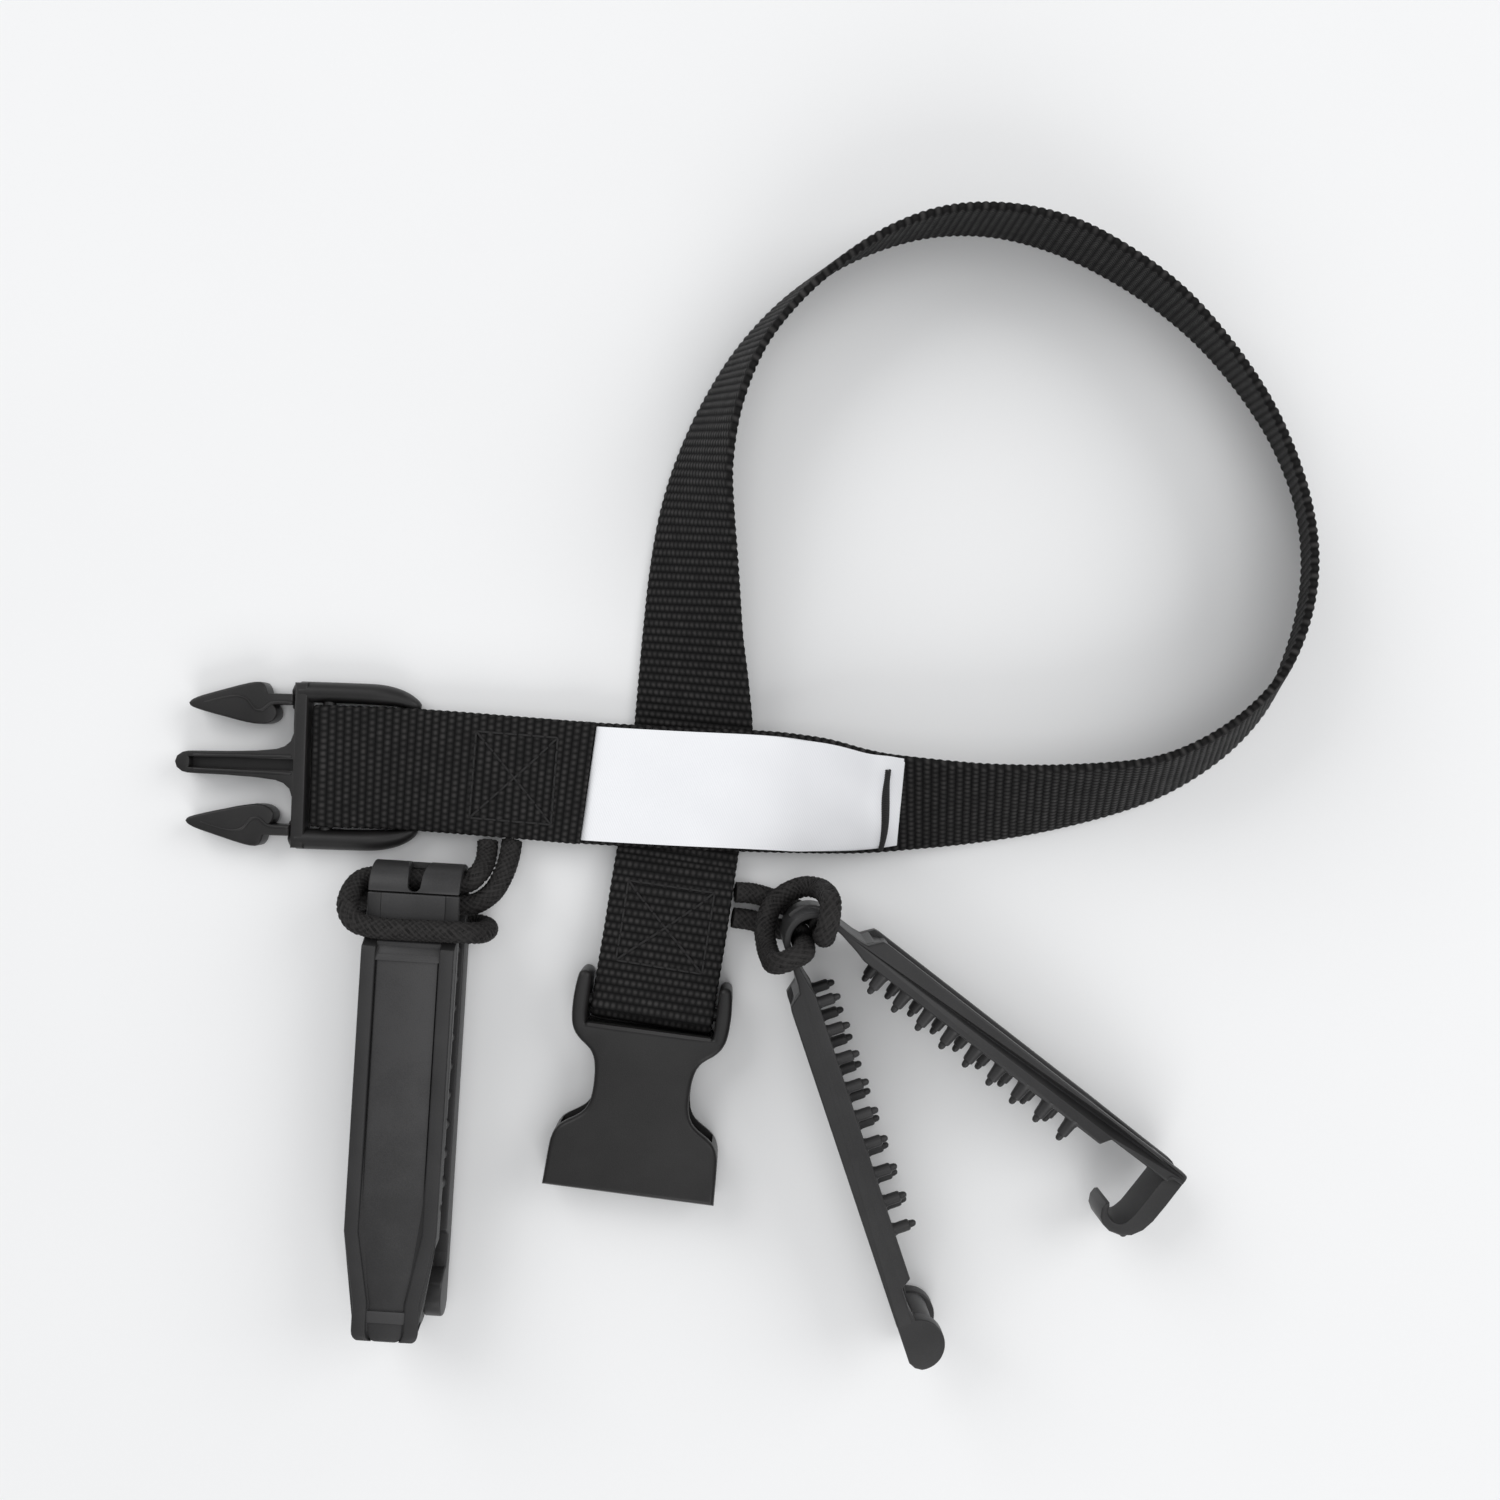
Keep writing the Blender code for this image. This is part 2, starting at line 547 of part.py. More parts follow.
def make_clip(prefix, hinge, half_angle, pin_name, hook_name):
    """One clip round its hinge empty, with each jaw turned half the opening from the middle."""
    make_band(f"{prefix}_hinge_band", hinge, half_angle)
    pin_side = add_empty(f"{prefix}_pin_side", Matrix.Rotation(-half_angle, 4, "Z"), hinge)
    hook_side = add_empty(f"{prefix}_hook_side", Matrix.Rotation(half_angle, 4, "Z"), hinge)
    make_pin_jaw(f"{prefix}_{pin_name}", pin_side)
    make_hook_jaw(f"{prefix}_{hook_name}", hook_side)
    make_hook(f"{prefix}_latch_hook", hook_side)


def closed_clip_matrix():
    """u down the table, v up, w along the tube."""
    along = Vector((math.cos(CLOSED_YAW), math.sin(CLOSED_YAW), 0))
    up = Vector((0, 0, 1))
    across = along.cross(up)
    turn = Matrix((along, up, across)).transposed().to_4x4()
    return Matrix.Translation(at(*CLOSED_HINGE)) @ turn


def open_clip_matrix():
    """The clip lies on its side, so its hinge stands up, leaning a little towards the jaws."""
    turn = Matrix.Rotation(OPEN_YAW, 4, "Z") @ Matrix.Rotation(OPEN_PITCH, 4, "Y")
    return Matrix.Translation(at(*OPEN_HINGE)) @ turn


# ---------------------------------------------------------------- cords

def make_cord(name, matrix, strand_in, hitch, strand_out):
    """One cord: in from the strap, through the tube, round the clip, back through and out."""
    route = [at(*p) for p in strand_in]
    route += [matrix @ (Vector(p) * MM) for p in hitch]
    route += [at(*p) for p in strand_out]
    length = sum((b - a).length for a, b in zip(route, route[1:]))
    points = spline(route, length / (CORD_POINTS - 1))
    curve = bpy.data.curves.new(name, "CURVE")
    curve.dimensions = "3D"
    curve.bevel_depth = CORD_DIAMETER / 2 * MM
    curve.bevel_resolution = 2
    curve.use_fill_caps = True
    line = curve.splines.new("POLY")
    line.points.add(len(points) - 1)
    for i, point in enumerate(points):
        line.points[i].co = (*point, 1.0)
    add_object(name, curve, "cord_black")


def build():
    clear_scene()
    make_webbing()
    make_label()
    make_stitching()
    make_male_buckle()
    make_female_buckle()
    closed = add_empty("closed_clip_hinge", closed_clip_matrix())
    make_clip("closed_clip", closed, 0.0, "rear_jaw", "front_jaw")
    opened = add_empty("open_clip_hinge", open_clip_matrix())
    make_clip("open_clip", opened, OPEN_HALF_ANGLE, "pin_jaw", "hook_jaw")
    make_cord("closed_clip_cord", closed_clip_matrix(), CLOSED_STRAND_IN, CLOSED_HITCH, CLOSED_STRAND_OUT)
    make_cord("open_clip_cord", open_clip_matrix(), OPEN_STRAND_IN, OPEN_HITCH, OPEN_STRAND_OUT)


build()
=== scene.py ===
"""Looks of a quick-release webbing strap with a side-release buckle and two toothed clips.

Tables of lengths are millimetres in the layout plane, as in the CAD source; at() turns them
into metres in the frame.  Clip tables use each clip's own axes: u along it, v across its jaws
and w along its hinge.
"""
import bisect
import math
from math import cos, pi, radians, sin

import bmesh
import bpy
from mathutils import Matrix, Vector


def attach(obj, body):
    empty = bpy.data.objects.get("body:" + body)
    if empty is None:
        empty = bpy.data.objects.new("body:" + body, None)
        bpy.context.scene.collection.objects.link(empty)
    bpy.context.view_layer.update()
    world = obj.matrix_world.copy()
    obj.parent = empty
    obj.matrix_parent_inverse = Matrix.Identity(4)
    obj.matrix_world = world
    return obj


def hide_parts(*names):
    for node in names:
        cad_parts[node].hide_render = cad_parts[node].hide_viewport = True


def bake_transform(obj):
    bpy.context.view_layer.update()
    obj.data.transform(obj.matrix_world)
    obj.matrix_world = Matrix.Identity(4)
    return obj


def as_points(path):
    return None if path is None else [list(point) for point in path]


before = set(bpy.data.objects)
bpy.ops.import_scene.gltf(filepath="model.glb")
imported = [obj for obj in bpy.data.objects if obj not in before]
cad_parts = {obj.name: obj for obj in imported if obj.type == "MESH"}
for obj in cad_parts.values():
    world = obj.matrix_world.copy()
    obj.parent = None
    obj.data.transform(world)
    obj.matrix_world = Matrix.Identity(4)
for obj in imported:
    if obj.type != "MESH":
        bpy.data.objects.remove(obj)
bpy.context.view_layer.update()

MM = 0.001
FRAME_SHIFT = Vector((0.68, 6.69, 0.0))  # from the layout's origin to the frame's
SMOOTH_ANGLE = 38.0  # degrees; sharper edges stay sharp in the shading
CAMERA_HEIGHT = 330.0
LENS, SENSOR = 37.9, 36.0

WEB_WIDTH = 25.2
WEB_THICK = 1.8
WEB_MIDDLE = WEB_WIDTH / 2
RIB_PITCH = 1.6
CORD_DIAMETER = 4.2
BAR_RADIUS = 1.3
FOLD_RADIUS = BAR_RADIUS + 0.3 + WEB_THICK / 2
MALE_BAR = Vector((-87.3, -3.3, 3.5))
MALE_YAW = radians(178.1)
FEMALE_BAR = Vector((-19.9, -52.8, 5.2))
FEMALE_YAW = radians(-97.5)

CLIP_WIDTH = 18.4
CLIP_TIP_WIDTH = 13.3
JAW_DEPTH = 8.5
JAW_INNER = 3.0
TOOTH_HEIGHT = 4.6
TOOTH_PITCH = 5.94
TOOTH_COUNT = 9
TOOTH_ROW = 7.3
BAND_OUTER = 5.9
BAND_INNER = 4.65
BAND_HALF_WIDTH = 9.1
PIN_CENTRE = (82.3, -5.4)
PIN_RADIUS = 2.0
FLANGE_RADIUS = 5.1
FLANGE_INNER = 5.6
HOOK_HALF_WIDTH = 5.2
TAPER_START, TAPER_END = 67.0, 81.0

CLOSED_HINGE = Vector((-66.9, -28.5, 10.2))
CLOSED_YAW = radians(-93.5)
OPEN_HINGE = Vector((12.3, -37.1, 13.9))
OPEN_YAW = radians(-54.8)
OPEN_PITCH = radians(2.9)
OPEN_HALF_ANGLE = radians(16.8)

EDGE_ROUTE = [
    (-87.7, -15.9, 0), (-75.4, -16.3, 0), (-62.7, -17.1, 0), (-49.0, -18.2, 0), (-35.0, -19.3, 0),
    (-17.6, -20.3, 1), (-0.4, -21.0, 4), (12.0, -21.3, 16), (24.0, -21.2, 32), (34.0, -20.4, 41),
    (48.0, -18.9, 50), (63.5, -16.2, 58), (81.5, -11.0, 67), (91.5, -6.0, 70), (100.3, 0.6, 72),
    (107.0, 8.4, 74), (111.2, 17.0, 76), (114.6, 28.0, 76), (115.8, 39.0, 75), (114.4, 51.0, 74),
    (109.6, 63.5, 75), (103.3, 73.6, 77), (95.0, 83.6, 79), (85.5, 91.9, 82), (74.5, 99.0, 84),
    (63.0, 104.4, 85), (50.5, 107.6, 84), (38.0, 107.6, 83), (26.5, 104.7, 81), (15.5, 99.4, 78),
    (5.8, 92.2, 76), (-2.6, 83.0, 74), (-9.6, 72.0, 69), (-15.0, 60.4, 61), (-18.6, 49.0, 51),
    (-20.8, 37.0, 42), (-22.2, 25.0, 34), (-23.3, 14.0, 22), (-24.3, 4.0, 8), (-25.5, -6.0, 2),
    (-27.4, -19.0, 0), (-29.3, -32.0, 0), (-30.9, -42.0, 0), (-32.4, -51.2, 0),
]
MALE_LOWER = [(0, 1.0), (8, 2.0), (17, 2.95), (27, 0.95), (42, 0.95), (55, 5.4), (87, 5.4),
              (100, 4.6), (112, 3.6), (123, 2.6), (137, 1.5), (152, 0.8), (172, 0.45), (240, 0.25)]
MALE_UPPER = [(0, 6.0), (9, 5.7), (18, 5.5), (28, 6.0), (42, 6.1), (53, 7.5)]
FEMALE_LOWER = [(0, 2.7), (10, 1.5), (19, 0.95), (58, 0.95), (70, 0.9), (95, 0.7), (150, 0.25)]
FEMALE_UPPER = [(0, 7.7), (8, 7.1), (16, 6.4), (23, 6.3), (27, 5.2), (31, 3.5), (35, 3.15), (43, 3.1)]
MALE_FOLD_LENGTH = 53.0
FEMALE_FOLD_LENGTH = 43.0
LABEL_START, LABEL_END = 53.0, 118.9
MALE_STITCH_SPAN = (30.0, 47.0)
FEMALE_STITCH_SPAN = (9.0, 25.0)
STITCH_NEAR, STITCH_FAR = 3.6, 21.4

CLOSED_STRAND_IN = [(-54.2, -18.9, 3.6), (-54.2, -21.2, 4.5), (-54.4, -23.6, 7.0), (-55.6, -25.6, 9.6)]
CLOSED_HITCH = [
    (-2.25, 0, -9.4), (-2.25, 0, 0), (-2.25, 0, 9.4), (-1.6, 1.0, 11.6), (0.6, 3.6, 12.9),
    (3.6, 6.6, 12.7), (6.0, 8.1, 10.7), (6.9, 8.3, 7), (7.0, 8.3, 0), (6.9, 8.3, -7.5),
    (7.0, 7.4, -11.4), (7.2, 4.4, -13.4), (7.3, 0, -13.9), (7.2, -4.4, -13.4), (7.0, -7.3, -11.4),
    (6.9, -8.0, -7.5), (7.0, -8.0, 0), (6.9, -8.0, 7), (6.2, -7.8, 10.7), (4.6, -5.6, 12.7),
    (3.0, -2.6, 12.7), (2.35, -0.4, 11.0), (2.25, 0, 9.0), (2.25, 0, 0), (2.25, 0, -9.4)]
CLOSED_STRAND_OUT = [(-55.6, -31.1, 10.0), (-52.4, -29.0, 9.1), (-50.4, -25.4, 7.2), (-49.5, -21.8, 4.8),
                     (-49.2, -18.9, 3.6)]
OPEN_STRAND_IN = [(-3.0, -29.4, 3.6), (0.5, -29.7, 2.9), (4.5, -30.9, 2.3), (8.3, -32.6, 2.3),
                  (11.8, -33.9, 2.7), (13.9, -34.8, 4.2)]
OPEN_HITCH = [
    (0, 2.4, -7.0), (0, 2.3, 0), (0, 2.25, 9.6), (-0.9, 3.0, 12.0), (-2.6, 4.9, 12.8),
    (-4.7, 6.9, 11.2), (-5.6, 7.3, 7.5), (-5.7, 7.2, 2), (-6.4, 6.6, -3), (-8.0, 4.3, -6.0),
    (-8.9, 0.6, -6.9), (-8.5, -3.2, -6.6), (-6.3, -6.7, -4.6), (-3.3, -8.6, -1.0), (-1.6, -9.0, 4),
    (-1.3, -8.7, 9), (-1.0, -7.1, 12.1), (-0.5, -4.7, 12.7), (-0.1, -2.8, 11.4), (-0.4, -2.15, 8),
    (-0.5, -2.1, 0), (-0.4, -2.0, -8.2)]
OPEN_STRAND_OUT = [(10.2, -37.8, 3.6), (8.4, -37.6, 2.2), (4.2, -36.6, 2.3), (0.5, -35.3, 2.9),
                   (-3.6, -34.6, 3.6)]
UV_ALONG, UV_ACROSS = 0.001, 0.01  # map units for a millimetre along and across the strap
BEAD_PITCH = 1.32  # beads of yarn across the strap
STRAND_COUNT = 10  # yarns each way round a cord's braid
BRAID_PITCH = 1.35
BRAID_RELIEF = 0.50


# ---- lengths and curves

def at(x, y, z=0.0):
    return (Vector((x, y, z)) + FRAME_SHIFT) * MM


def ramp(table, x):
    """Smooth steps between the table's (x, value) pairs."""
    if x <= table[0][0]:
        return table[0][1]
    for (x0, y0), (x1, y1) in zip(table, table[1:]):
        if x <= x1:
            t = (x - x0) / (x1 - x0)
            return y0 + (y1 - y0) * t * t * (3 - 2 * t)
    return table[-1][1]


def arc(centre, radius, first, last, steps):
    points = []
    for i in range(steps + 1):
        angle = radians(first + (last - first) * i / steps)
        points.append((centre[0] + radius * cos(angle), centre[1] + radius * sin(angle)))
    return points


def curve_point(before, start, end, after, t):
    """A centripetal Catmull-Rom curve from start to end."""
    knots = [0.0]
    for one, two in ((before, start), (start, end), (end, after)):
        knots.append(knots[-1] + max(math.sqrt((two - one).length), 1e-6))
    x = knots[1] + (knots[2] - knots[1]) * t
    first = [one.lerp(two, (x - knots[i]) / (knots[i + 1] - knots[i]))
             for i, (one, two) in enumerate(((before, start), (start, end), (end, after)))]
    second = [first[i].lerp(first[i + 1], (x - knots[i]) / (knots[i + 2] - knots[i])) for i in range(2)]
    return second[0].lerp(second[1], t)


def spline(points, step):
    """Points about a step apart on a smooth curve through the given ones."""
    points = [Vector(p) for p in points]
    dense = []
    for i in range(len(points) - 1):
        start, end = points[i], points[i + 1]
        before = points[i - 1] if i else start * 2 - end
        after = points[i + 2] if i + 2 < len(points) else end * 2 - start
        dense += [curve_point(before, start, end, after, k / 16) for k in range(16)]
    dense.append(points[-1])
    reach = [0.0]
    for one, two in zip(dense, dense[1:]):
        reach.append(reach[-1] + (two - one).length)
    count = max(2, round(reach[-1] / step))
    result, k = [], 0
    for i in range(count + 1):
        goal = reach[-1] * i / count
        while k < len(reach) - 2 and reach[k + 1] < goal:
            k += 1
        t = (goal - reach[k]) / max(reach[k + 1] - reach[k], 1e-9)
        result.append(dense[k].lerp(dense[k + 1], min(max(t, 0.0), 1.0)))
    return result


# ---- camera and light

def make_camera():
    camera = bpy.data.objects.new("camera", bpy.data.cameras.new("camera"))
    bpy.context.scene.collection.objects.link(camera)
    camera.data.lens = LENS
    camera.data.sensor_width = SENSOR
    camera.data.clip_start = 0.01
    camera.location = at(0, 0, CAMERA_HEIGHT)
    bpy.context.scene.camera = camera


def area_light(name, place, size, power):
    light = bpy.data.objects.new(name, bpy.data.lights.new(name, "AREA"))
    bpy.context.scene.collection.objects.link(light)
    light.data.shape = "RECTANGLE"
    light.data.size, light.data.size_y = size
    light.data.energy = power
    light.location = place
    light.rotation_euler = (-light.location).to_track_quat("-Z", "Y").to_euler()


def make_lights():
    """Four soft boxes aimed at the middle of the frame, and an even pale sky."""
    area_light("soft_key", (-0.75, 0.75, 0.80), (0.9, 0.9), 6.0)
    area_light("soft_top", (0.10, 0.0, 1.30), (0.8, 0.8), 2.8)
    area_light("soft_side", (0.95, 0.35, 0.75), (0.8, 0.8), 4.6)
    area_light("soft_front", (0.15, -1.05, 0.75), (0.9, 0.7), 4.6)
    world = bpy.data.worlds.new("studio")
    bpy.context.scene.world = world
    world.use_nodes = True
    sky = world.node_tree.nodes["Background"].inputs
    sky["Color"].default_value = (0.97, 0.98, 1.0, 1.0)
    sky["Strength"].default_value = 0.43
    bpy.context.scene.view_settings.view_transform = "Standard"


# ---- materials

class Finish:
    """A principled material built from small node calls."""

    def __init__(self, name, specular):
        self.material = bpy.data.materials.new(name)
        self.material.use_nodes = True
        self.tree = self.material.node_tree
        self.shader = self.tree.nodes["Principled BSDF"]
        self.shader.inputs["Specular IOR Level"].default_value = specular

    def node(self, kind, inputs=None, output=0, **settings):
        made = self.tree.nodes.new(kind)
        for key, value in settings.items():
            setattr(made, key, value)
        for key, value in (inputs or {}).items():
            self.plug(made.inputs[key], value)
        return made.outputs[output]

    def plug(self, socket, value):
        if isinstance(value, bpy.types.NodeSocket):
            self.tree.links.new(value, socket)
        else:
            socket.default_value = value

    def math(self, operation, *values):
        return self.node("ShaderNodeMath", dict(enumerate(values)), operation=operation)

    def add(self, one, two):
        return self.math("ADD", one, two)

    def times(self, one, two):
        return self.math("MULTIPLY", one, two)

    def wave(self, value):
        """The size of a sine that reaches zero at every whole value."""
        return self.math("ABSOLUTE", self.math("SINE", self.times(value, pi)))

    def noise(self, size_mm, detail=3.0):
        """Noise of a feature size, on object coordinates, which are the frame's at rest."""
        inputs = {"Vector": self.node("ShaderNodeTexCoord", output=3)}
        inputs.update({"Scale": 1.0 / (size_mm * MM), "Detail": detail})
        return self.node("ShaderNodeTexNoise", inputs)

    def pointiness(self, low, high):
        """0 to 1 between two readings of how convex the surface is."""
        reading = self.node("ShaderNodeNewGeometry", output=7)
        return self.node("ShaderNodeMapRange", {"Value": reading, "From Min": low, "From Max": high})

    def spread(self, value, low, high):
        return self.node("ShaderNodeMapRange", {"Value": value, "To Min": low, "To Max": high})

    def colours(self, value, *stops):
        made = self.tree.nodes.new("ShaderNodeValToRGB")
        self.plug(made.inputs[0], value)
        band = made.color_ramp.elements
        while len(band) < len(stops):
            band.new(0.5)
        for element, (place, colour) in zip(band, stops):
            element.position, element.color = place, (*colour, 1.0)
        return made.outputs[0]

    def bump(self, height, depth_mm, strength, normal=None):
        inputs = {"Height": height, "Distance": depth_mm * MM, "Strength": strength}
        if normal is not None:
            inputs["Normal"] = normal
        return self.node("ShaderNodeBump", inputs)

    def finish(self, colour, roughness, normal):
        self.plug(self.shader.inputs["Base Color"], colour)
        self.plug(self.shader.inputs["Roughness"], roughness)
        self.plug(self.shader.inputs["Normal"], normal)
        return self.material


def moulded_plastic(name, dark, light, roughness):
    """Fine spark-eroded grain with faint flow marks and slightly polished high edges."""
    look = Finish(name, specular=0.32)
    grain = look.noise(0.22)
    flow = look.noise(9.0)
    worn = look.pointiness(0.50, 0.60)
    mix = look.add(look.times(flow, 0.55), look.times(grain, 0.45))
    tone = look.add(mix, look.times(worn, 0.5))
    colour = look.colours(tone, (0.30, dark), (0.75, light), (1.0, tuple(c * 1.5 for c in light)))
    base = look.spread(mix, roughness - 0.07, roughness + 0.09)
    rough = look.math("SUBTRACT", base, look.times(worn, 0.08))
    return look.finish(colour, rough, look.bump(grain, 0.030, 0.7, look.bump(flow, 0.10, 0.35)))


def strap_uv(look):
    """Distance along the strap and across it, in millimetres, from the piece's own map."""
    split = look.tree.nodes.new("ShaderNodeSeparateXYZ")
    look.plug(split.inputs[0], look.node("ShaderNodeUVMap", uv_map="UVMap"))
    return (look.times(split.outputs[0], 1.0 / UV_ALONG), look.times(split.outputs[1], 1.0 / UV_ACROSS))


def webbing_finish():
    """Beaded ribs of twisted filament yarn, dull black; the colour is painted lighter on the rib crowns and
    bead tops (painted sheen) and darker in the valleys between them (painted shade).
    """
    look = Finish("webbing_black", specular=0.16)
    along, across = strap_uv(look)
    rib = look.math("DIVIDE", along, RIB_PITCH)
    stagger = look.times(look.math("FLOOR", look.add(rib, 0.5)), 0.5)
    bead = look.wave(look.add(look.math("DIVIDE", across, BEAD_PITCH), stagger))
    crown = look.math("ABSOLUTE", look.math("COSINE", look.times(rib, pi)))
    fibre = look.noise(0.16, 4.0)
    patch = look.noise(2.6)
    height = look.add(look.times(bead, 0.62), look.times(fibre, 0.5))
    # painted light: tone is lighter on rib crowns and bead tops (painted sheen) and darker in the valleys
    # between ribs and beads (painted shade); patch adds random real tone
    tone = look.times(look.times(crown, look.spread(bead, 0.35, 1.0)), look.spread(patch, 0.45, 1.2))
    colour = look.colours(tone, (0.05, (0.0022, 0.0021, 0.0022)), (0.50, (0.0120, 0.0115, 0.0115)),
                          (0.95, (0.0400, 0.0380, 0.0375)))
    relief = look.bump(height, 0.17, 0.9, look.bump(patch, 0.22, 0.4))
    return look.finish(colour, look.spread(tone, 0.82, 0.56), relief)


def cord_finish(name, dark, light):
    """Braided filament yarn: fine fibres over the braid's own relief; the colour is painted darker between
    the yarns (painted shade) and lighter on their crowns (painted highlight).
    """
    look = Finish(name, specular=0.2)
    fibre = look.noise(0.14, 5.0)
    patch = look.noise(1.1)
    # painted light: crown lightens the yarn crowns (painted highlight) and darkens the gaps between yarns
    # (painted shade); fibre and patch are random real tone
    crown = look.pointiness(0.44, 0.56)
    tone = look.times(look.times(look.spread(fibre, 0.5, 1.2), look.spread(patch, 0.4, 1.2)),
                      look.spread(crown, 0.3, 1.6))
    colour = look.colours(tone, (0.10, dark), (0.85, light))
    relief = look.bump(fibre, 0.10, 0.9, look.bump(patch, 0.20, 0.5))
    return look.finish(colour, look.spread(tone, 0.9, 0.6), relief)


def satin_finish():
    """White woven satin: fine slanted floats, a soft gloss and faint handling creases."""
    look = Finish("label_white", specular=0.4)
    along, across = strap_uv(look)
    float_line = look.wave(look.add(look.times(along, 1.9), look.times(across, 1.1)))
    cloud = look.noise(14.0)
    thread = look.noise(0.3)
    tone = look.add(look.times(float_line, 0.4), look.times(cloud, 0.6))
    colour = look.colours(tone, (0.1, (0.80, 0.81, 0.835)), (0.9, (0.90, 0.905, 0.925)))
    height = look.add(look.times(float_line, 0.7), look.times(thread, 0.3))
    relief = look.bump(height, 0.018, 0.6, look.bump(cloud, 0.5, 0.25))
    return look.finish(colour, look.spread(tone, 0.52, 0.36), relief)


def floor_finish():
    """A plain matt board, barely mottled."""
    look = Finish("pale_board", specular=0.25)
    cloud = look.noise(60.0)
    grain = look.noise(0.8)
    tone = look.add(look.times(cloud, 0.7), look.times(grain, 0.3))
    colour = look.colours(tone, (0.2, (0.865, 0.868, 0.870)), (0.8, (0.885, 0.888, 0.890)))
    return look.finish(colour, look.spread(grain, 0.62, 0.75), look.bump(grain, 0.01, 0.3))


# ---- mesh helpers

def finish_mesh(name, work):
    bmesh.ops.recalc_face_normals(work, faces=work.faces)
    mesh = bpy.data.meshes.new(name)
    work.to_mesh(mesh)
    work.free()
    return mesh


def loft(name, rings, uv=None):
    """A closed skin through rings of equal length, capped at both ends; uv gives each ring point's place."""
    work = bmesh.new()
    rows = [[work.verts.new(point) for point in ring] for ring in rings]
    layer = work.loops.layers.uv.new("UVMap") if uv else None
    count = len(rows[0])
    for r, (row, following) in enumerate(zip(rows, rows[1:])):
        for i in range(count):
            j = (i + 1) % count
            face = work.faces.new((row[i], row[j], following[j], following[i]))
            if uv:
                for loop, place in zip(face.loops, (uv[r][i], uv[r][j], uv[r + 1][j], uv[r + 1][i])):
                    loop[layer].uv = place
    caps = [work.faces.new(rows[0]), work.faces.new(rows[-1])]
    work.normal_update()
    bmesh.ops.triangulate(work, faces=[cap for cap in caps if len(cap.verts) > 4])
    return finish_mesh(name, work)


def turns(count):
    """Equal steps round a circle."""
    return [2 * pi * k / count for k in range(count)]


def corners(outline):
    """Each point of a closed outline with the ones before and after it."""
    for i, point in enumerate(outline):
        yield Vector(point), Vector(outline[i - 1]), Vector(outline[(i + 1) % len(outline)])


def mirrored(half_outline, middle=()):
    """A symmetric outline: one half, any points between, and the half's mirror image."""
    return half_outline + list(middle) + [(u, -v) for u, v in reversed(half_outline)]


def inset(outline, distance):
    """The outline moved inwards by a distance, each corner along its own bisector."""
    area = sum(a[0] * b[1] - b[0] * a[1] for a, b in zip(outline, outline[1:] + outline[:1]))
    side = 1.0 if area > 0 else -1.0
    result = []
    for p, before, after in corners(outline):
        one, two = (p - before).normalized(), (after - p).normalized()
        normals = [Vector((-d.y, d.x)) * side for d in (one, two)]
        bisector = (normals[0] + normals[1]).normalized()
        scale = min(1.0 / max(bisector.dot(normals[0]), 0.3), 2.5)
        result.append(tuple(p + bisector * distance * scale))
    return result


def fillet(outline, radius, steps=3):
    """The outline with its sharp corners rounded off."""
    result = []
    for p, before, after in corners(outline):
        one, two = before - p, after - p
        turn = pi - one.angle(two)
        reach = min(radius * math.tan(turn / 2), one.length * 0.4, two.length * 0.4)
        if math.degrees(turn) < 22 or reach < 0.02:
            result.append(tuple(p))
            continue
        start, end = p + one.normalized() * reach, p + two.normalized() * reach
        for k in range(steps + 1):
            t = k / steps
            result.append(tuple(start.lerp(p, t).lerp(p.lerp(end, t), t)))
    return result


def smooth_outline(outline):
    """The outline with its shallow corners eased by one round of corner cutting."""
    result = []
    for p, before, after in corners(outline):
        turn = math.degrees(pi - (before - p).angle(after - p))
        if turn > 55 or turn < 4:
            result.append(tuple(p))
        else:
            result += [tuple(p.lerp(before, 0.22)), tuple(p.lerp(after, 0.22))]
    return result


def prism(name, outline, low, high, rim=0.4, steps=3):
    """An outline extruded between two heights (numbers, or functions of u) with rounded rims."""
    rings = []
    for level, sign, order in ((low, 1, range(steps + 1)), (high, -1, reversed(range(steps + 1)))):
        for k in order:
            turn = pi / 2 * k / steps
            shape = inset(outline, rim * (1 - sin(turn)))
            ring = []
            for a, b in shape:
                base = level(a) if callable(level) else level
                ring.append(Vector((a, b, base + sign * rim * (1 - cos(turn)))) * MM)
            rings.append(ring)
    return loft(name, rings)


def box_mesh(name, low, high):
    outline = [(low[0], low[1]), (high[0], low[1]), (high[0], high[1]), (low[0], high[1])]
    return loft(name, [[Vector((a, b, c)) * MM for a, b in outline] for c in (low[2], high[2])])


def sweep(name, path, radius, sides=14, squeeze=1.0):
    """A round-ended tube along a path in millimetres; the radius may be a function of the share gone."""
    points = [Vector(p) for p in path]
    size = radius if callable(radius) else (lambda share: radius)
    last = len(points) - 1
    rings = []
    for i, point in enumerate(points):
        ahead = (points[min(i + 1, last)] - points[max(i - 1, 0)]).normalized()
        side = ahead.cross(Vector((0, 0, 1))).normalized()
        top = side.cross(ahead).normalized()
        r = size(i / last)
        sections = [(0.0, 1.0)]
        if i == 0:
            sections = [(-0.9 * r, 0.25), (-0.65 * r, 0.7), (0.0, 1.0)]
        elif i == last:
            sections = [(0.0, 1.0), (0.65 * r, 0.7), (0.9 * r, 0.25)]
        for shift, scale in sections:
            rings.append([(point + ahead * shift + (side * cos(a) + top * sin(a) * squeeze)
                           * r * scale) * MM for a in turns(sides)])
    return loft(name, rings)


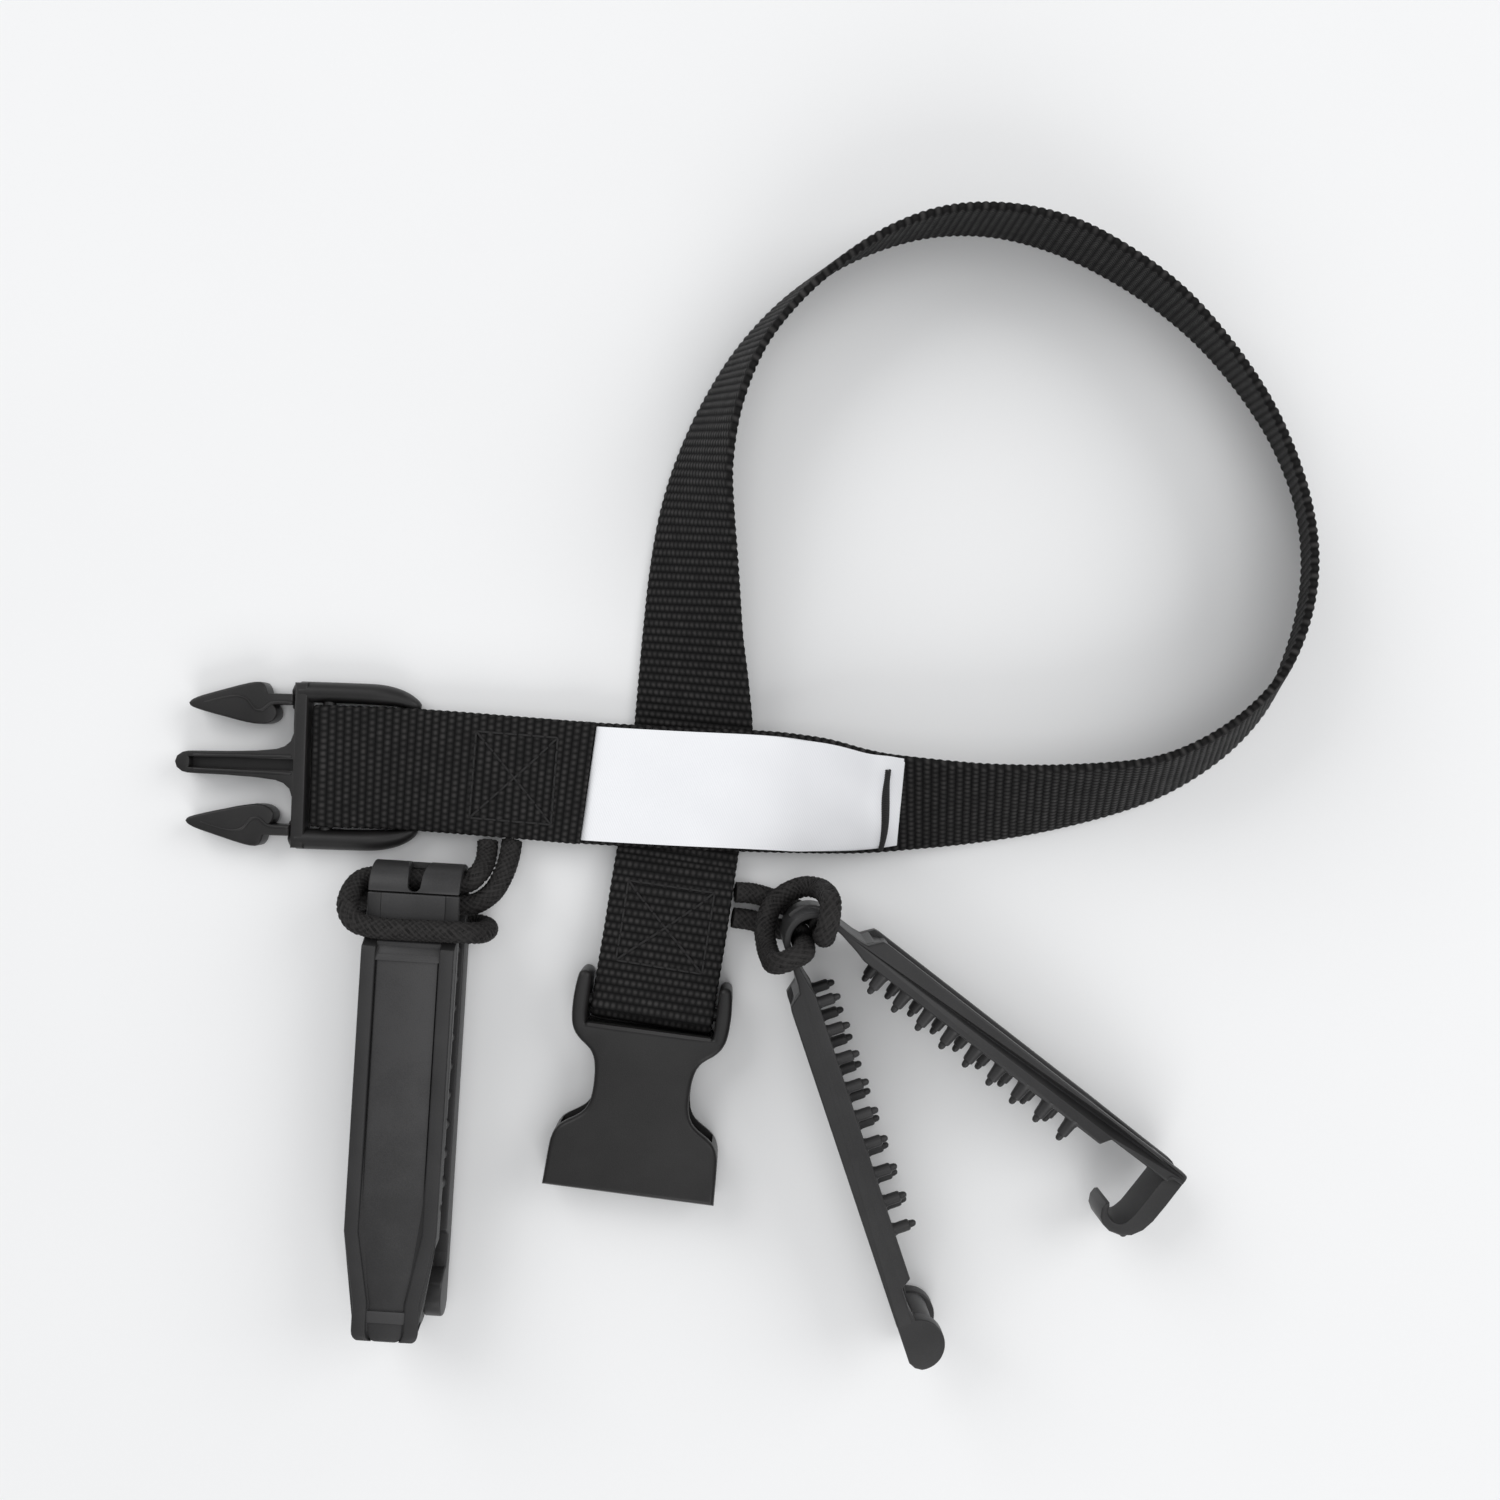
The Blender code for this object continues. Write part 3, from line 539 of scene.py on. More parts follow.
def rod(name, start, end, radius, sides=20, rim=0.0):
    """A straight round bar between two points in millimetres, its ends eased by the rim."""
    start, end = Vector(start), Vector(end)
    ahead = (end - start).normalized()
    side = ahead.orthogonal().normalized()
    top = ahead.cross(side)
    stops = [(start, radius), (end, radius)]
    if rim:
        stops = [(start, radius - rim), (start + ahead * rim, radius), (end - ahead * rim, radius),
                 (end, radius - rim)]
    return loft(name, [[(point + (side * cos(a) + top * sin(a)) * r) * MM for a in turns(sides)]
                       for point, r in stops])


def stand_up(mesh):
    """A prism drawn in u and w with its height along v, turned into the piece's axes."""
    mesh.transform(Matrix(((1, 0, 0, 0), (0, 0, 1, 0), (0, 1, 0, 0), (0, 0, 0, 1))))
    mesh.flip_normals()
    return mesh


def new_object(name, mesh):
    item = bpy.data.objects.new(name, mesh)
    bpy.context.scene.collection.objects.link(item)
    return item


def cut_out(target, mesh):
    """One mesh taken out of the target, applied at once."""
    tool = new_object("tool", mesh)
    step = target.modifiers.new("step", "BOOLEAN")
    step.operation, step.object, step.solver = "DIFFERENCE", tool, "EXACT"
    graph = bpy.context.evaluated_depsgraph_get()
    made = bpy.data.meshes.new_from_object(target.evaluated_get(graph))
    target.modifiers.clear()
    bpy.data.objects.remove(tool)
    work = bmesh.new()
    work.from_mesh(made)
    if work.faces and all(edge.is_manifold for edge in work.edges):
        target.data = made
    else:
        print("cut left out of", target.name)
    work.free()


def join_meshes(name, meshes):
    work = bmesh.new()
    for mesh in meshes:
        work.from_mesh(mesh)
    return finish_mesh(name, work)


def settle(item, matrix, body, slot, finish, *nodes, smooth_angle=SMOOTH_ANGLE):
    """Puts a finished piece in the frame: its place, body, material and the CAD nodes it stands for; the slot
    argument is not used.
    """
    item.data.transform(matrix)
    item.data.shade_smooth()
    item.data.set_sharp_from_angle(angle=radians(smooth_angle))
    item.data.materials.clear()
    item.data.materials.append(finish)
    if body:
        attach(item, body)
    if nodes:
        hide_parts(*nodes)
    return item


# ---- strap geometry

class Edge:
    """The strap's outer edge in plan, by distance from the male bar."""

    def __init__(self):
        self.points = []
        self.reach = [0.0]
        for point in spline(EDGE_ROUTE, 0.5):
            if self.points:
                gone = (Vector(point[:2]) - Vector(self.points[-1][:2])).length
                self.reach.append(self.reach[-1] + gone)
            self.points.append(point)
        self.length = self.reach[-1]

    def sample(self, q):
        """The edge's place, its heading in plan and the strap's lean; it runs straight on past its ends."""
        inside = min(max(q, 0.0), self.length)
        k = min(bisect.bisect_right(self.reach, inside) - 1, len(self.reach) - 2)
        t = (inside - self.reach[k]) / (self.reach[k + 1] - self.reach[k])
        point = self.points[k].lerp(self.points[k + 1], t)
        ends = []
        for shift in (-4.0, 4.0):
            goal = min(max(k + t + shift, 0.0), len(self.points) - 1.001)
            i = int(goal)
            ends.append(self.points[i].lerp(self.points[i + 1], goal - i))
        heading = Vector((ends[1][0] - ends[0][0], ends[1][1] - ends[0][1], 0)).normalized()
        place = Vector((point[0], point[1], 0)) + heading * (q - inside)
        return place, heading, radians(max(point[2], 0.0))


EDGE = Edge()


def lower_height(q):
    return ramp(MALE_LOWER, q) if q < EDGE.length - 150 else ramp(FEMALE_LOWER, EDGE.length - q)


def station(q, z):
    place, heading, lean = EDGE.sample(q)
    inward = Vector((-heading.y, heading.x, 0))
    across = inward * cos(lean) + Vector((0, 0, sin(lean)))
    clear = WEB_THICK / 2 * cos(lean)
    return place + Vector((0, 0, max(z, clear))), across


def on_layer(surface, q, t, height):
    """A point above or below the middle of a layer, at a place along it and across it."""
    edge, across = surface(q)
    ahead, _ = surface(q + 0.5)
    normal = (ahead - edge).cross(across).normalized()
    return edge + across * t + normal * height


def strap_layer(q):
    return station(q, lower_height(q))


def male_layer(q):
    return station(q, ramp(MALE_UPPER, q))


def female_layer(q):
    return station(EDGE.length - q, ramp(FEMALE_UPPER, q))


def steps_between(first, last, step):
    count = max(1, round(abs(last - first) / step))
    return [first + (last - first) * i / count for i in range(count + 1)]


def cut_slant(q):
    """How far the male tail's cut end runs ahead at the far edge, fading back along the layer."""
    return 1.6 * min(max((q - 41.0) / 12.0, 0.0), 1.0)


def fold_rows(end, sign, bar_height, step):
    """Half a turn round a bar: downwards at the strap's first end (sign -1), upwards at its last (sign 1)."""
    rows = []
    folds = max(2, round(pi * FOLD_RADIUS / step))
    for i in range(1, folds):
        turn = pi * i / folds
        level = bar_height - sign * FOLD_RADIUS * cos(turn)
        rows.append((*station(end + sign * FOLD_RADIUS * sin(turn), level), None))
    return rows


def strap_stations(step):
    """The strap from cut end to cut end: edge point, width direction, and a tag for the stitched layers."""
    rows = []
    for q in steps_between(MALE_FOLD_LENGTH, 0, step):
        edge, across = male_layer(q)
        ahead, _ = station(q + 0.5, ramp(MALE_UPPER, q))
        slant = (ahead - edge).normalized() * cut_slant(q) / WEB_WIDTH
        rows.append((edge, across + slant, ("male", q)))
    rows += fold_rows(0, -1, MALE_BAR.z, step)
    for q in steps_between(0, EDGE.length, step):
        rows.append((*strap_layer(q), None))
    rows += fold_rows(EDGE.length, 1, FEMALE_BAR.z, step)
    for e in steps_between(0, FEMALE_FOLD_LENGTH, step):
        rows.append((*female_layer(e), ("female", e)))
    return rows


def stitch_lines(span):
    (q0, q1), (a0, a1) = span, (STITCH_NEAR, STITCH_FAR)
    corners = [(q0, a0), (q1, a0), (q1, a1), (q0, a1)]
    lines = [(corners[k], corners[(k + 1) % 4]) for k in range(4)]
    return lines + [(corners[0], corners[2]), (corners[1], corners[3])]


def distance_to_lines(point, lines):
    p = Vector(point)
    best = 1e9
    for start, end in lines:
        a, b = Vector(start), Vector(end)
        t = min(max((p - a).dot(b - a) / (b - a).length_squared, 0.0), 1.0)
        best = min(best, (a.lerp(b, t) - p).length)
    return best


def make_webbing(finish):
    """The strap, with each rib and its scalloped edge in the mesh."""
    columns = [0.0, 0.1, 0.35, 0.8, 2.2, 4.4, 7.0, 9.8]
    columns += [WEB_MIDDLE] + [WEB_WIDTH - t for t in reversed(columns)]
    rows = strap_stations(RIB_PITCH / 5.0)
    lines = {"male": stitch_lines(MALE_STITCH_SPAN), "female": stitch_lines(FEMALE_STITCH_SPAN)}
    spans = {"male": MALE_STITCH_SPAN, "female": FEMALE_STITCH_SPAN}
    half, round_edge = WEB_THICK / 2, 0.8
    rings, places, along = [], [], 0.0
    for i, (edge, across, tag) in enumerate(rows):
        before, after = rows[max(i - 1, 0)], rows[min(i + 1, len(rows) - 1)]
        heading = (after[0] + after[1] * WEB_MIDDLE) - (before[0] + before[1] * WEB_MIDDLE)
        normal = heading.cross(across).normalized()
        if i:
            along += ((edge + across * WEB_MIDDLE) - (before[0] + before[1] * WEB_MIDDLE)).length
        ring, place = [], []
        stitched = tag and spans[tag[0]][0] - 2 < tag[1] < spans[tag[0]][1] + 2
        for side, shift in ((1, 0.0), (-1, 0.5)):
            order = columns[:-1] if side > 0 else columns[:0:-1]
            for t in order:
                sway = 0.07 * sin(t * 0.55 + along * 0.11) + 0.05 * sin(t * 1.3 - along * 0.31)
                wave = abs(cos(pi * (along / RIB_PITCH + shift + sway)))
                depth = 0.34 * (1.0 - wave ** 0.75)
                if stitched:
                    near = distance_to_lines((tag[1], t), lines[tag[0]])
                    press = max(0.0, 1.0 - near / 1.5)
                    depth = depth * (1 - 0.75 * press) + 0.22 * press
                from_edge = min(t, WEB_WIDTH - t)
                swell = math.sqrt(max(0.0, 1 - (1 - min(from_edge, round_edge) / round_edge) ** 2))
                scallop = 0.20 * (1 - abs(cos(pi * (along / RIB_PITCH + 0.25))))
                reach = t + (scallop if t < WEB_MIDDLE else -scallop) * (1 - min(from_edge, 1.6) / 1.6)
                ring.append(at(*(edge + across * reach + normal * side * (half - depth) * swell)))
                place.append((along * UV_ALONG, t * UV_ACROSS))
        rings.append(ring)
        places.append(place)
    item = new_object("webbing", loft("webbing", rings, places))
    settle(item, Matrix(), "strap", "webbing_black", finish, "strap_webbing", smooth_angle=80)


def make_stitching(finish):
    """Lock stitches sunk a little into the ribs, round each box and along its cross."""
    for name, span, surface, node, side in (
            ("box_stitch_male", MALE_STITCH_SPAN, male_layer, "male_end_box_stitch", 1),
            ("box_stitch_female", FEMALE_STITCH_SPAN, female_layer, "female_end_box_stitch", -1)):
        meshes = []
        for start, end in stitch_lines(span):
            a, b = Vector(start), Vector(end)
            count = max(2, round((b - a).length / 2.7))
            for k in range(count):
                first, last = a.lerp(b, (k + 0.10) / count), a.lerp(b, (k + 0.90) / count)
                path = []
                for j in range(7):
                    p = first.lerp(last, j / 6)
                    rise = 0.30 * sin(pi * j / 6)
                    point = on_layer(surface, p.x, p.y, (WEB_THICK / 2 - 0.30 + rise) * side)
                    path.append(at(*point) / MM)
                meshes.append(sweep("stitch", path, 0.24, sides=8))
        item = new_object(name, join_meshes(name, meshes))
        settle(item, Matrix(), "strap", "thread_black", finish, node, smooth_angle=60)


def make_bartack(finish):
    """Close turns of thread across the label near its raw ends, wavering a little towards the near edge."""
    wraps = []
    count, near, run = 46, 2.0, 20.2
    for k in range(count):
        share = k / (count - 1)
        t = near + run * share
        middle = LABEL_END - 3.3 + 2.2 * (t / WEB_WIDTH - 0.5) + 0.5 * sin(share * 5.0) * (1 - share)
        wide = (0.42 + 0.42 * sin(pi * min(share * 1.15, 1.0))) * (0.75 + 0.25 * share)
        path = []
        for j in range(7):
            swing = j / 3 - 1
            rise = 0.52 * sin(pi * j / 6) ** 0.7
            path.append(at(*on_layer(strap_layer, middle + wide * swing, t + 0.15 * swing, 1.45 + rise)) / MM)
        wraps.append(sweep("wrap", path, 0.27, sides=8))
    item = new_object("label_bartack", join_meshes("label_bartack", wraps))
    return settle(item, Matrix(), "strap", "thread_black", finish, "label_stitch", smooth_angle=60)


def make_label(finish, thread):
    """A satin strip folded in two, its fold beside the webbing's cut end and its raw ends sewn down."""
    thick, bend, fold = 0.22, 0.28, LABEL_START + 0.6
    low = WEB_THICK / 2 + 0.12 + thick / 2
    rows = []
    for q in steps_between(LABEL_END, fold, 0.8):
        rows.append((q, low, 0))
    for k in range(1, 8):
        turn = pi * k / 8
        rows.append((fold - 0.30 * sin(turn), low + bend * (1 - cos(turn)), 1))
    for q in steps_between(fold, LABEL_END - 0.35, 0.8):
        rows.append((q, low + 2 * bend, 2))
    rings, places, gone = [], [], 0.0
    columns = [k / 16 for k in range(17)]
    for i, (q, height, layer) in enumerate(rows):
        share = (q - LABEL_START) / (LABEL_END - LABEL_START)
        end = max(0.0, 1 - (LABEL_END - q) / 22.0)
        near = 0.9 + (2.4 * end ** 1.4 if layer == 2 else 1.5 * end ** 2)
        far = WEB_WIDTH - 0.9 + (1.5 * end if layer == 2 else 0.3 * end)
        sewn = math.exp(-((q - (LABEL_END - 3.4)) / 2.2) ** 2)
        ring, place = [], []
        for face in (1, -1):
            order = columns if face > 0 else list(reversed(columns))
            for c in order:
                t = near + (far - near) * c
                slant = (1.0 - share) * 1.6 * (t / WEB_WIDTH) + share * 2.2 * (t / WEB_WIDTH - 0.5)
                puff = 0.0
                if layer == 2:
                    dome = sin(pi * c)
                    puff = 0.38 * dome ** 0.6 * sin(pi * min(share * 1.02, 1.0)) ** 0.5
                    puff += 0.10 * sin(q * 0.21 + t * 0.33) * dome - 0.30 * sewn
                ring.append(at(*on_layer(strap_layer, q + slant, t, height + puff + face * thick / 2)))
                place.append((gone * UV_ALONG, t * UV_ACROSS))
        rings.append(ring)
        places.append(place)
        if i + 1 < len(rows):
            gone += math.hypot(rows[i + 1][0] - q, rows[i + 1][1] - height)
    label = new_object("folded_label", loft("folded_label", rings, places))
    settle(label, Matrix(), "strap", "label_white", finish, "care_label", smooth_angle=60)
    make_bartack(thread)


# ---- cords

def closed_clip_matrix():
    along = Vector((cos(CLOSED_YAW), sin(CLOSED_YAW), 0))
    up = Vector((0, 0, 1))
    turn = Matrix((along, up, along.cross(up))).transposed().to_4x4()
    return Matrix.Translation(at(*CLOSED_HINGE)) @ turn


def open_clip_matrix():
    turn = Matrix.Rotation(OPEN_YAW, 4, "Z") @ Matrix.Rotation(OPEN_PITCH, 4, "Y")
    return Matrix.Translation(at(*OPEN_HINGE)) @ turn


def make_cord(name, matrix, strand_in, hitch, strand_out, finish):
    """A braided tube along the cord's route, laid by the clip's placing where it is wrapped round the jaws.
    """
    route = [at(*p) / MM for p in strand_in]
    route += [(matrix @ (Vector(p) * MM)) / MM for p in hitch]
    route += [at(*p) / MM for p in strand_out]
    points = spline(route, 0.28)
    sides = 44
    headings = [(points[min(i + 2, len(points) - 1)] - points[max(i - 2, 0)]).normalized()
                for i in range(len(points))]
    side = headings[0].orthogonal().normalized()
    rings, along = [], 0.0
    for i, (point, ahead) in enumerate(zip(points, headings)):
        side = (side - ahead * side.dot(ahead)).normalized()
        top = ahead.cross(side)
        if i:
            along += (point - points[i - 1]).length
        ring = []
        for k in range(sides):
            angle = 2 * pi * k / sides
            one = STRAND_COUNT * angle / (2 * pi) + along / BRAID_PITCH
            two = STRAND_COUNT * angle / (2 * pi) - along / BRAID_PITCH
            over = (math.floor(one) + math.floor(two)) % 2 == 0
            crown = abs(sin(pi * (one if over else two))) ** 0.7
            dip = abs(sin(pi * (two if over else one))) ** 0.5
            relief = BRAID_RELIEF * (crown * (0.6 + 0.4 * dip) - 0.75)
            ring.append((point + (side * cos(angle) + top * sin(angle))
                         * (CORD_DIAMETER / 2 + relief)) * MM)
        rings.append(ring)
    item = new_object(name, loft(name, rings))
    settle(item, Matrix(), None, "cord_black", finish, name.replace("braided_", ""), smooth_angle=75)
    length = sum((b - a).length for a, b in zip(points, points[1:])) * MM
    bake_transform(item)
    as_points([p * MM for p in points[::3]] + [points[-1] * MM])


# ---- buckle

def buckle_matrix(bar, yaw):
    return Matrix.Translation(at(*bar)) @ Matrix.Rotation(yaw, 4, "Z")


def rail_radius(share):
    return 2.15 - 0.85 * max(0.0, (share - 0.66) / 0.34) ** 1.6


def make_male_buckle(finish):
    """Cross bar, hollow-sided centre prong, side rails, webbing bar and keeper, and the two sprung arms."""
    matrix = buckle_matrix(MALE_BAR, MALE_YAW)
    half, outer, inner = 3.0, 17.2, 13.1
    bar = [(3.9, -17.0), (6.6, -17.0), (6.6, 17.0), (3.9, 17.0)]
    meshes = [prism("crossbar", bar, 0.25 - half, half - 0.25, rim=0.5, steps=4)]
    prong = [(6.0, -6.6), (6.6, -6.4), (7.1, -4.9), (8.3, -3.8), (10.0, -3.2), (14.0, -2.75), (20.0, -2.45),
             (27.4, -2.3), (29.2, -2.0), (30.3, -1.2)]
    prong = mirrored(prong, [(30.7, 0.0)])
    meshes.append(prism("web", inset(prong, 0.3), -0.45, 0.45, rim=0.1))
    tip = [(28.0, -2.28)] + prong[8:13] + [(28.0, 2.28)]
    tip += [(28.0 - 0.3 * sin(a), 1.15 * cos(a)) for a in turns(12)[:7]]
    meshes.append(prism("tip", tip, 0.3 - half, half - 0.3, rim=0.22))
    for side in (1, -1):
        wall = [(u, side * abs(v)) for u, v in prong[:8]] + [(28.3, side * 2.2), (28.3, side * 1.1)]
        wall += [(20.0, side * 1.15), (6.0, side * 1.15)]
        meshes.append(prism("wall", wall, 0.3 - half, half - 0.3, rim=0.22))
    for side in (1, -1):
        for level in (half - 0.42, 0.42 - half):
            rib = [(7.0, side * 1.75, level), (14.0, side * 1.65, level), (26.8, side * 1.45, level)]
            meshes.append(sweep("rib", spline(rib, 2.0), 0.40, sides=12))
        middle = (outer + inner) / 2
        path = [(5.7, side * middle, 0), (2.0, side * middle, 0), (-4.0, side * middle, 0),
                (-10.0, side * (middle - 0.1), 0), (-13.5, side * (middle - 0.5), 0),
                (-16.0, side * (middle - 1.2), 0), (-17.8, side * (middle - 2.2), -0.2)]
        meshes.append(sweep("rail", spline(path, 0.8), rail_radius, sides=36, squeeze=1.32))
        meshes.append(rod("lug", (6.75, side * 12.0, -1.2), (6.75, side * 12.0, 1.2), 0.6, 14, rim=0.25))
    meshes.append(rod("bar", (0, -inner - 1.4, 0), (0, inner + 1.4, 0), BAR_RADIUS, 24))
    keeper = [(-18.3, -inner - 0.6), (-15.8, -inner - 0.6), (-15.8, inner + 0.6), (-18.3, inner + 0.6)]
    meshes.append(prism("keeper", keeper, 0.02 - half, 1.2 - half, rim=0.3))
    item = new_object("male_frame", join_meshes("male_frame", meshes))
    settle(item, matrix, "male_buckle", "buckle_black", finish, "male_buckle_frame")

    arm = [(6.9, 12.3), (6.9, 14.6), (12.2, 14.6), (12.6, 16.0), (13.4, 16.9), (15.4, 16.8), (18.4, 16.0),
           (22.0, 14.9), (26.2, 13.6), (27.8, 12.8), (28.3, 12.1), (27.9, 11.4), (26.2, 10.8), (23.0, 10.0),
           (20.0, 9.3), (17.0, 8.6), (14.4, 8.2), (12.2, 8.3), (10.8, 9.0), (10.1, 10.1), (10.3, 11.4),
           (11.0, 12.3)]
    ridge = [(7.3, 12.75), (10.0, 12.75), (11.4, 12.5), (12.3, 11.8), (13.2, 11.1), (14.5, 11.2),
             (15.4, 12.1), (16.3, 13.2), (18.2, 13.8), (21.5, 13.3), (25.0, 12.3)]
    for side, name in ((1, "latch_arm_lower"), (-1, "latch_arm_upper")):
        shape = [(u, side * v) for u, v in smooth_outline(arm)]
        meshes = [prism(name, shape, -2.6, 2.6, rim=0.5, steps=4)]
        for level in (2.45, -2.45):
            path = spline([(u, side * v, level) for u, v in ridge], 0.5)
            meshes.append(sweep("ridge", path, lambda t: 0.45 - 0.2 * t, sides=12))
        piece = new_object(f"{name}_moulding", join_meshes(name, meshes))
        settle(piece, matrix, name, "buckle_black", finish, name)


def make_female_buckle(finish):
    """The hollow half, open at both ends, with a lipped window beyond its webbing bar."""
    matrix = buckle_matrix(FEMALE_BAR, FEMALE_YAW)
    half = 5.1
    side = arc((-5.1, 14.45), 1.3, 265, 105, 8)
    side += [(-3.4, 16.0), (-0.6, 16.2), (2.5, 16.1), (4.6, 15.8), (6.2, 15.1), (7.6, 13.9), (8.6, 12.5),
             (9.6, 11.3), (11.2, 10.4), (13.4, 9.95), (16.0, 9.8), (18.4, 9.85), (20.6, 10.3), (22.2, 11.2),
             (23.4, 12.7), (24.4, 14.4), (25.5, 15.8), (27.0, 16.7), (29.0, 17.2), (37.8, 17.6)]
    outline = mirrored(side)
    outline += [(4.0, -13.12), (4.35, -12.7), (4.35, 12.7), (4.0, 13.12)]
    body = prism("female_body", smooth_outline(outline), -half, half, rim=1.05, steps=5)
    item = new_object("female_body", body)
    cut_out(item, box_mesh("socket", (8.0, -15.6, -3.3), (40.0, 15.6, 3.3)))
    mouth = [(35.6, -15.9), (39.0, -16.6), (39.0, 16.6), (35.6, 15.9)]
    cut_out(item, prism("mouth", mouth, -3.9, 3.9, rim=0.5))
    meshes = [item.data, rod("bar", (0, -14.4, 0), (0, 14.4, 0), BAR_RADIUS, 24)]
    for flip in (1, -1):
        lip = [(4.1, flip * 4.9), (4.1, flip * 2.9), (5.2, flip * 2.9), (5.2, flip * 4.9)]
        meshes.append(stand_up(prism("lip", lip, -12.9, 12.9, rim=0.4, steps=3)))
    item.data = join_meshes("female_body", meshes)
    settle(item, matrix, "female_buckle", "buckle_black", finish, "female_buckle_body")


# ---- clips

def hook_half_width(u):
    t = min(max((u - TAPER_START) / (TAPER_END - TAPER_START), 0.0), 1.0)
    return (CLIP_WIDTH + (CLIP_TIP_WIDTH - CLIP_WIDTH) * t) / 2


def jaw_side(tip, depth, inner=JAW_INNER):
    """A jaw's side view with its outer face at +v, thin where it leaves the spring."""
    root = [(0.15, 5.85), (3.5, 5.6), (7.0, 5.65), (8.7, 5.9), (9.7, 7.2), (10.6, depth - 0.15)]
    back = [(70.6, 5.1), (69.2, inner), (9.8, inner), (7.6, 3.6), (3.5, 4.35), (0.15, BAND_INNER)]
    return root + [(11.6, depth), (TAPER_START, depth)] + tip + back


def tooth(u, w, sign, base):
    """One finger of a jaw: a round post with a smaller nub at its tip."""
    profile = [(-0.6, base + 0.25), (0.1, base), (0.6, base - 0.16), (2.8, 1.14), (3.15, 1.04), (3.35, 0.74),
               (4.1, 0.66), (4.45, 0.46), (TOOTH_HEIGHT, 0.12)]
    rings = []
    for drop, r in profile:
        v = sign * (JAW_INNER - drop)
        rings.append([Vector((u + r * cos(a), v, w + r * sin(a))) * MM for a in turns(16)])
    return loft("tooth", rings)


def half_width_of(tapers):
    """Half a jaw's width at u; the tapered one also rounds in at its end."""
    def tapered(u):
        end = min(max((u - 86.4) / 2.4, 0.0), 1.0)
        return hook_half_width(u) - 1.7 * (1 - math.sqrt(1 - end * end))
    return tapered if tapers else (lambda u: CLIP_WIDTH / 2)


def make_jaw(sign, first_tooth, tip, tapers, panel_end):
    """A jaw with a recessed panel between two ribs and a row of teeth along each side."""
    half = half_width_of(tapers)
    rib, recess = 2.9, 0.8
    meshes = []

    def slice_of(name, outline, near, far, rim, steps=3):
        """A prism of a side view between two distances from the jaw's middle plane."""
        outline = [(u, sign * v) for u, v in outline]
        meshes.append(prism(name, outline, near, far, rim, steps))

    def between_ribs(name, outline, gap, rim, steps=3):
        """A prism that fills the space between the ribs, but for a gap at each."""
        slice_of(name, outline, lambda u: rib + gap - half(u), lambda u: half(u) - rib - gap, rim, steps)

    slab = jaw_side([(u, min(v, JAW_DEPTH - 1.5)) for u, v in tip], JAW_DEPTH - 1.5, JAW_INNER + 0.15)
    between_ribs("slab", fillet(slab, 0.4), -0.1, 0.05, 1)
    top = JAW_DEPTH - recess
    panel = [(12.0, 5.6), (12.0, top), (TAPER_START, top)] + [(u, min(v, top)) for u, v in tip[:-2]]
    panel += [(tip[-2][0], 6.6), (tip[-2][0] - 1.0, 5.6)]
    between_ribs("panel", panel, 0.22, 0.2)
    full = fillet(jaw_side(tip, JAW_DEPTH), 0.35)
    slice_of("rib", full, lambda u: half(u) - rib, half, 0.4, 4)
    slice_of("rib", full, lambda u: -half(u), lambda u: rib - half(u), 0.4, 4)
    head = [(9.4, 5.2), (9.6, 6.4), (13.0, 8.15), (13.3, 8.1), (13.3, 5.2)]
    between_ribs("head", head, -0.2, 0.12)
    end = tip[-2][0] - 0.5
    pad = [(panel_end, 6.5), (panel_end, JAW_DEPTH - 0.42), (panel_end + 0.4, JAW_DEPTH - 0.30),
           (end, JAW_DEPTH - 0.45), (end, 6.5)]
    between_ribs("pad", pad, -0.2, 0.12)
    for i in range(TOOTH_COUNT):
        for w, stagger in ((TOOTH_ROW, 0.0), (-TOOTH_ROW, 0.5 if tapers else 0.0)):
            meshes.append(tooth(first_tooth + TOOTH_PITCH * i + stagger, w, sign, 1.5 if tapers else 1.3))
    return meshes


def make_band(name, node, hinge, half_angle, finish):
    """The rolled spring between the jaws, with a flared notch over its crown."""
    trim = math.degrees(half_angle) + 1.6
    outline = arc((0, 0), BAND_OUTER, 90 + trim, 270 - trim, 44)
    outline += arc((0, 0), BAND_INNER, 270 - trim, 90 + trim, 44)
    item = new_object(name, prism(name, outline, -BAND_HALF_WIDTH, BAND_HALF_WIDTH, rim=0.3))
    crown = [(-1.6 + 1.35 * sin(a), -1.35 * cos(a)) for a in turns(16)[1:8]]
    notch = mirrored([(-7.5, -3.0), (-6.0, -2.3), (-5.0, -1.75), (-3.6, -1.45), (-1.9, -1.35)], crown)
    mesh = prism("notch", notch, -1.5, 8.0, rim=0.05, steps=1)
    cut_out(item, stand_up(mesh))
    settle(item, hinge, None, "clip_charcoal", finish, node)
    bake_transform(item)


